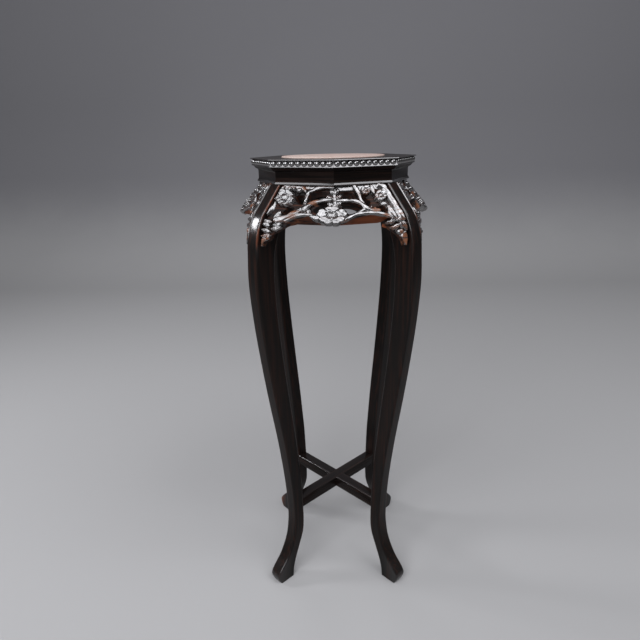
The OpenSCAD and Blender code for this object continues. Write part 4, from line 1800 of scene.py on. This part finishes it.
class Carvings:
    """The eight apron halves and the four corner blossoms."""

    def __init__(self, face: ApronFace) -> None:
        """Keeps the face that the carving lies on."""
        self.face = face

    def curve(self, points: Pairs) -> Array:
        """Draws a curve through points given by distance from the middle corner and drop."""
        return smooth_curve(self.face.places(points), closed=False, steps=5)

    def leaf(self, points: Pairs, half_w: float, rise: float = 2.6) -> Leaf:
        """Makes a leaf along such points."""
        return Leaf(self.curve(points), half_w, rise)

    def branch(self, points: Pairs, start_r: float, end_r: float, lift: float = -0.6,
               crown: float = 1.0) -> Branch:
        """Makes a branch along such points."""
        return Branch(self.curve(points), start_r, end_r, lift, crown)

    def bud(self, s: float, drop: float, long_r: float, short_r: float, turn: float = 0.0) -> Bud:
        """Makes a bud at such a place."""
        return Bud(s, float(self.face.down(drop)), long_r, short_r, turn)

    def flower(self, s: float, drop: float, r: float, turn: float = 90.0, stretch: float = 1.0,
               rise: float = 4.4) -> Flower:
        """Makes a blossom at such a place."""
        return Flower(s, float(self.face.down(drop)), r, turn, stretch=stretch, rise=rise)

    def right(self) -> CarvedHalf:
        """Lays out the right half: two small blossoms above, a broad band by the leg, leaves at its foot.

        Returns:
            The half.
        """
        outline = [
            (150, 72), (140, 79), (137, 90), (131, 103), (126, 94), (121, 87), (114, 80.5), (106, 75),
            (98, 69), (91, 63), (95, 60.2), (100, 59.4), (103, 57.5), (92, 53.3), (73, 49.3), (56, 48.8),
            (40, 51), (28, 54.5), (19, 59), (10, 60), (0, 60), (-12, 60)]
        openings = [
            [(11, 14), (16, 10.5), (29, 10), (38, 14), (41, 19.5), (30, 21.5), (18, 19)],
            [(50, 19), (57, 17.5), (63, 22.5), (69, 27), (65, 33), (57, 29.5), (51, 25)],
            [(14, 29.5), (25, 28), (40, 30.5), (50, 35.5), (46, 40), (36, 43), (26, 43.5), (16, 39)],
            [(79, 35.5), (89, 36), (98, 42), (94, 47), (85, 43)]]
        motifs = [
            Band(),
            self.branch([(84, 2), (95, 7), (105, 20), (114, 34), (121, 47), (127, 56)], 7.0, 8.0, -1.2, 0.7),
            self.branch([(37, 2), (42, 10), (46.5, 18), (50, 27), (57, 36)], 5.0, 3.6),
            self.branch([(6, 24.5), (19, 25), (33, 25.5), (46, 29.5), (56, 36.5), (68, 42), (81, 43)],
                        4.2, 4.8),
            self.branch([(44, 44), (55, 40), (66, 39)], 4.0, 3.6, -1.2),
            self.branch([(12, 56), (22, 53.5), (28, 50.5), (43, 46.3), (61, 45.6), (81, 47.2), (95, 51),
                         (104, 57)], 3.6, 4.2),
            self.flower(58, 10.5, 9.0, 60.0),
            self.flower(85, 20, 11.0, 100.0),
            self.bud(41, 7, 6.5, 4.6, 30.0),
            self.bud(92, 33.5, 9.0, 6.0, 40.0),
            self.leaf([(67, 2), (71, 9), (74, 17)], 4.6, 3.2),
            self.leaf([(97, 10), (102, 19), (109, 28)], 4.4, 1.8),
            self.leaf([(121, 38), (118, 45), (121, 54)], 4.4, 2.2),
            self.leaf([(98, 36), (104, 44), (109, 51), (115, 61)], 6.6, 3.4),
            self.leaf([(113, 61), (121, 57), (130, 50)], 5.2, 3.2),
            self.leaf([(112, 61), (103, 61.5), (92, 62.5)], 4.4, 3.2),
            self.leaf([(103, 74), (112, 70), (123, 66)], 5.2, 3.2),
            self.leaf([(120, 64), (128, 68), (132, 78)], 6.0, 3.4),
            self.leaf([(118, 69), (109, 71.5), (100, 70)], 4.6, 3.0),
            self.bud(121, 78.5, 6.6, 5.2, 20.0),
            self.bud(135, 65, 5.4, 4.2, 60.0),
            self.leaf([(128, 79), (128, 88), (131, 102)], 6.8, 3.4),
            self.bud(68, 37, 3.2, 2.6), self.bud(74, 40, 3.6, 2.8, 30.0)]
        return CarvedHalf(self.face, Half.RIGHT, outline, openings, motifs, arch_end=90.0,
                          rubbed=[(74, 42, 11), (95, 50, 7)])

    def left(self) -> CarvedHalf:
        """Lays out the left half: a large blossom above, a gnarled trunk along the arch, leaves at its foot.

        Returns:
            The half.
        """
        outline = [
            (150, 80), (140, 88), (137, 98), (133, 101), (129, 93), (119, 88.5), (115, 79.5), (102, 72.5),
            (91, 66.5), (87, 60.5), (77, 56), (65, 51.5), (50, 48.7), (38, 50), (27, 55.5), (18, 59.5),
            (10, 60), (0, 60), (-12, 60)]
        openings = [
            [(45, 20), (42, 13), (31, 8.8), (14, 8.5), (7, 12.5), (16, 19), (31, 21.5), (41, 24.5)],
            [(70, 15.5), (60, 14.5), (53, 18.5), (54, 26.5), (63, 28.5), (69, 25)],
            [(39, 38.5), (32, 32.5), (19, 27.5), (7, 27.5), (7, 38), (16, 43), (32, 42.5)],
            [(96, 41), (87, 35.5), (76, 34.5), (77, 42.5), (87, 49), (95, 47)]]
        motifs = [
            Band(7.0),
            self.branch([(104, 12), (112, 24), (118, 37)], 6.0, 6.0, -1.4, 0.4),
            self.branch([(-3, 3), (14, 3), (26, 4.5), (33, 7), (44, 12.5), (49, 18), (52, 25)], 3.8, 4.6),
            self.branch([(6, 22), (18, 23.5), (28, 25.5), (43, 30.5), (55, 39)], 3.8, 5.2),
            self.branch([(50, 16), (52, 25), (54, 35), (64, 41.5), (77, 47), (90, 52), (104, 57)], 3.4, 6.8),
            self.branch([(12, 56), (24, 53.5), (32, 50), (41, 47.3), (53, 46), (65, 47.3), (77, 50.7),
                         (90, 56.3)], 3.4, 4.0),
            self.bud(48, 40.5, 7.4, 5.8, -30.0),
            self.flower(91, 20, 17.0, 80.0, 1.1),
            self.leaf([(90, 3), (99, 7), (105, 16)], 5.0, 3.2),
            self.bud(81, 6, 5.2, 4.2, 20.0), self.bud(73, 6, 5.0, 4.0, -30.0),
            self.bud(63, 8.5, 6.0, 4.6, 30.0), self.leaf([(57, 3), (53, 8), (50, 14)], 4.0, 3.0),
            self.leaf([(116, 31), (120, 40), (122, 49)], 5.6, 3.2),
            self.leaf([(97, 43), (104, 49), (111, 56)], 5.8, 3.4),
            self.leaf([(131, 57), (121, 59), (111, 59)], 4.8, 3.2),
            self.leaf([(112, 64), (104, 64), (95, 61)], 4.4, 3.0),
            self.leaf([(116, 71), (106, 70), (95, 66.5)], 5.0, 3.2),
            self.leaf([(118, 66), (126, 64), (134, 63)], 4.8, 3.2),
            self.leaf([(117, 75), (126, 74), (135, 72)], 5.2, 3.2),
            self.leaf([(117, 81), (126, 83), (135, 83)], 4.8, 3.2),
            self.leaf([(127, 82), (129, 90), (134, 101)], 5.8, 3.2),
            self.bud(121, 86, 5.4, 4.2, 40.0)]
        # Left half: the arch underside gets less bare wood, so it renders darker, as painted shade.
        return CarvedHalf(self.face, Half.LEFT, outline, openings, motifs, arch_bare_and_shade=0.65,
                          rubbed=[(76, 48, 17), (37, 28, 9), (53, 10, 6)])

    def corner(self) -> CornerCarving:
        """Lays out the corner: a broad blossom on the lower edge, a leaf beside it, a column of buds above.

        Returns:
            The corner's carving.
        """
        motifs = [
            self.flower(-4, 47, 16.5, -90.0, 1.65, 5.4),
            self.leaf([(-24, 51), (-33, 50), (-45, 49)], 5.4, 3.4),
            self.branch([(0, 38), (1, 24), (0, 1)], 4.6, 4.0),
            self.bud(-7, 30, 8.0, 5.4, 60.0), self.bud(9, 29, 8.4, 5.8, -60.0),
            self.bud(-8, 20, 7.6, 5.2, 40.0), self.bud(9, 19, 7.6, 5.2, -40.0),
            self.bud(-4, 11, 6.4, 4.8, 70.0), self.bud(6, 10, 6.4, 4.8, -60.0),
            self.leaf([(-2, 5), (-8, 3), (-15, 2)], 3.6)]
        return CornerCarving(self.face, motifs)

    def build(self, wood: bpy.types.Material) -> None:
        """Makes the boards and the corner carvings in one finish."""
        boards = {Half.RIGHT: self.right().board(), Half.LEFT: self.left().board()}
        for k in range(SIDES):
            half = Half.LEFT if k % 2 else Half.RIGHT
            board = boards[half].turned(FIRST_CORNER + QUARTER * ((k + 1) // 2) + half.value * APRON_TURN)
            name = f"apron_{k + 1}"
            make_piece(f"carved_{name}", board, wood, Slot.CARVED, name, sharp=CARVED_SHARP)
        corner = self.corner().carving()
        for k, place in enumerate(("front", "right", "back", "left")):
            name = f"blossom_{place}"
            turned = corner.turned(FIRST_CORNER + k * QUARTER)
            make_piece(f"corner_{name}", turned, wood, Slot.CARVED, name, sharp=CARVED_SHARP)


# Floor, light and camera

def frame_matrix(x: Array, y: Array, z: Array, place: Sequence[float]) -> Matrix:
    """Makes a matrix from three axes and a place.

    Args:
        x: First axis.
        y: Second axis.
        z: Third axis.
        place: The place.

    Returns:
        The matrix.
    """
    rows = np.eye(4)
    rows[:3, 0], rows[:3, 1], rows[:3, 2], rows[:3, 3] = x, y, z, place
    return Matrix(rows.tolist())


# What the main lamps face, in metres
HEAD: Triple = (0.0, -0.15, 0.85)


@dataclass(frozen=True)
class Lamp:
    """A soft oblong lamp.

    Attributes:
        name: Its name.
        place: Where it hangs, in metres.
        size: Its width and height.
        watts: Its power.
        target: What it faces.
    """

    name: str
    place: Triple
    size: tuple[float, float]
    watts: float
    target: Triple = HEAD

    def hang(self, colour: Colour) -> None:
        """Hangs the lamp with its own -Z axis towards its target and its width level, in one colour."""
        light = bpy.data.lights.new(self.name, "AREA")
        light.shape = "RECTANGLE"
        light.size, light.size_y = self.size
        light.energy = self.watts
        light.color = colour
        away = np.asarray(self.place) - np.asarray(self.target)
        z = away / np.linalg.norm(away)
        x = np.cross([0.0, 0.0, 1.0], z)
        x = x / np.linalg.norm(x)
        lamp = bpy.data.objects.new(self.name, light)
        lamp.matrix_world = frame_matrix(x, np.cross(z, x), z, self.place)
        bpy.context.scene.collection.objects.link(lamp)


LAMPS = (
    Lamp("window", (0.20, -2.26, 4.82), (3.8, 2.2), 100.0),
    Lamp("high_right", (2.45, -1.45, 4.40), (2.6, 2.6), 92.0),
    Lamp("high_left", (-2.25, -1.78, 4.40), (2.0, 2.0), 46.0),
    Lamp("front", (-1.20, -2.71, 2.11), (2.2, 2.0), 66.0),
    Lamp("left", (-2.23, 0.31, 1.63), (0.4, 0.4), 18.0, (-0.13, -0.13, 0.81)),
    Lamp("behind", (-0.8, 2.0, 3.0), (1.2, 1.2), 10.0, (0.0, 0.0, 0.7)),
)


@dataclass(frozen=True)
class Studio:
    """A pale floor, soft lamps and the camera.

    Attributes:
        floor_colour: Colour of the floor.
        wall_colour: Colour of the sheet that it is swept up into.
        sky: Colour of the surroundings.
        sky_strength: Strength of the surroundings' light.
        focal: Focal length in picture widths.
        eye: Place of the camera in metres.
        heading: Turn of the camera from +Y, in degrees.
        pitch: How far it looks down, in degrees.
        roll: Turn of the picture, in degrees.
        lamps: The lamps.
    """

    floor_colour: Colour = (0.36, 0.36, 0.36)
    wall_colour: Colour = (0.20, 0.20, 0.21)
    sky: Colour = (0.96, 0.96, 1.0)
    sky_strength: float = 0.13
    focal: float = 0.8380
    eye: Triple = (-0.0075, -1.0918, 0.9477)
    heading: float = 1.256
    pitch: float = 18.825
    roll: float = -1.143
    lamps: Sequence[Lamp] = LAMPS

    def floor(self) -> None:
        """Lays a wide plain floor that starts a little behind the camera and is swept up behind the stand."""
        near, back, sweep, high, half = -2.5, 2.4, 1.2, 7.0, 30.0
        u = np.linspace(0.0, math.pi / 2.0, 13)
        y = np.concatenate([[near], back + sweep * np.sin(u), [back + sweep]])
        z = np.concatenate([[0.0], sweep * (1.0 - np.cos(u)), [high]])
        x = np.array([-half, half])
        rows = np.stack(np.broadcast_arrays(x, y[:, None], z[:, None]), axis=-1)
        k = 2 * np.arange(len(y) - 1)
        faces = np.stack([k, k + 1, k + 3, k + 2], axis=1)
        mesh = bpy.data.meshes.new("floor")
        mesh.from_pydata(rows.reshape(-1, 3).tolist(), [], faces.tolist())
        graph = Graph("pale_floor")
        place = graph.place()
        cloud = graph.noise(place, (3.0, 3.0, 3.0))
        _, _, height = graph.axes(place)
        colour = graph.mix((height + 0.1 * cloud).eased(0.05, 0.75), self.floor_colour, self.wall_colour)
        inputs = {"Base Color": colour, "Roughness": 0.75 + 0.1 * cloud, "Specular IOR Level": 0.2}
        mesh.materials.append(graph.finish(inputs, cloud, 0.0))
        mesh.shade_smooth()
        floor = bpy.data.objects.new("floor", mesh)
        bpy.context.scene.collection.objects.link(floor)

    def camera(self) -> None:
        """Sets the camera: pitched down about its side, rolled about its view, then turned to its heading."""
        p, r, h = (math.radians(v) for v in (self.pitch, self.roll, self.heading))
        ahead = np.array([0.0, math.cos(p), -math.sin(p)])
        up = np.array([0.0, math.sin(p), math.cos(p)])
        right = np.array([1.0, 0.0, 0.0])
        x = right * math.cos(r) + up * math.sin(r)
        y = up * math.cos(r) - right * math.sin(r)
        c, s = math.cos(h), math.sin(h)
        turn = np.array([[c, -s, 0.0], [s, c, 0.0], [0.0, 0.0, 1.0]])
        data = bpy.data.cameras.new("camera")
        data.sensor_width = 36.0
        data.lens = self.focal * data.sensor_width
        data.clip_start = 0.01
        camera = bpy.data.objects.new("camera", data)
        camera.matrix_world = frame_matrix(turn @ x, turn @ y, turn @ -ahead, self.eye)
        bpy.context.scene.collection.objects.link(camera)
        bpy.context.scene.camera = camera

    def build(self) -> None:
        """Sets up the floor, the surroundings, the lamps and the camera."""
        scene = bpy.context.scene
        scene.view_settings.view_transform = "Standard"
        world = bpy.data.worlds.new("studio")
        world.use_nodes = True
        sky = world.node_tree.nodes["Background"]
        sky.inputs["Color"].default_value = (*self.sky, 1.0)
        sky.inputs["Strength"].default_value = self.sky_strength
        scene.world = world
        self.floor()
        for lamp in self.lamps:
            lamp.hang(self.sky)
        self.camera()


def main() -> None:
    """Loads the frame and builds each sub-assembly."""
    logging.basicConfig(level=logging.INFO, format="%(message)s")
    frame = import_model()
    Studio().build()
    plain = PLAIN_LACQUER.material()
    bare = BareWood().material()
    for name in ("batten_lower", "batten_upper", "rail_splines"):
        frame["nodes"][name].data.materials.clear()
        frame["nodes"][name].data.materials.append(bare)
    levels = Levels.from_frame()
    waist = Waist(levels)
    TopFrame(levels).build(RAIL_LACQUER.material(), Marble().material())
    waist.build(plain)
    legs = Legs.shaped(levels, waist)
    legs.build(LEG_LACQUER.material())
    Stretchers(levels, legs.back).build(plain)
    Carvings(ApronFace(levels, legs.front)).build(CARVED_LACQUER.material())


if __name__ == "__main__":
    main()
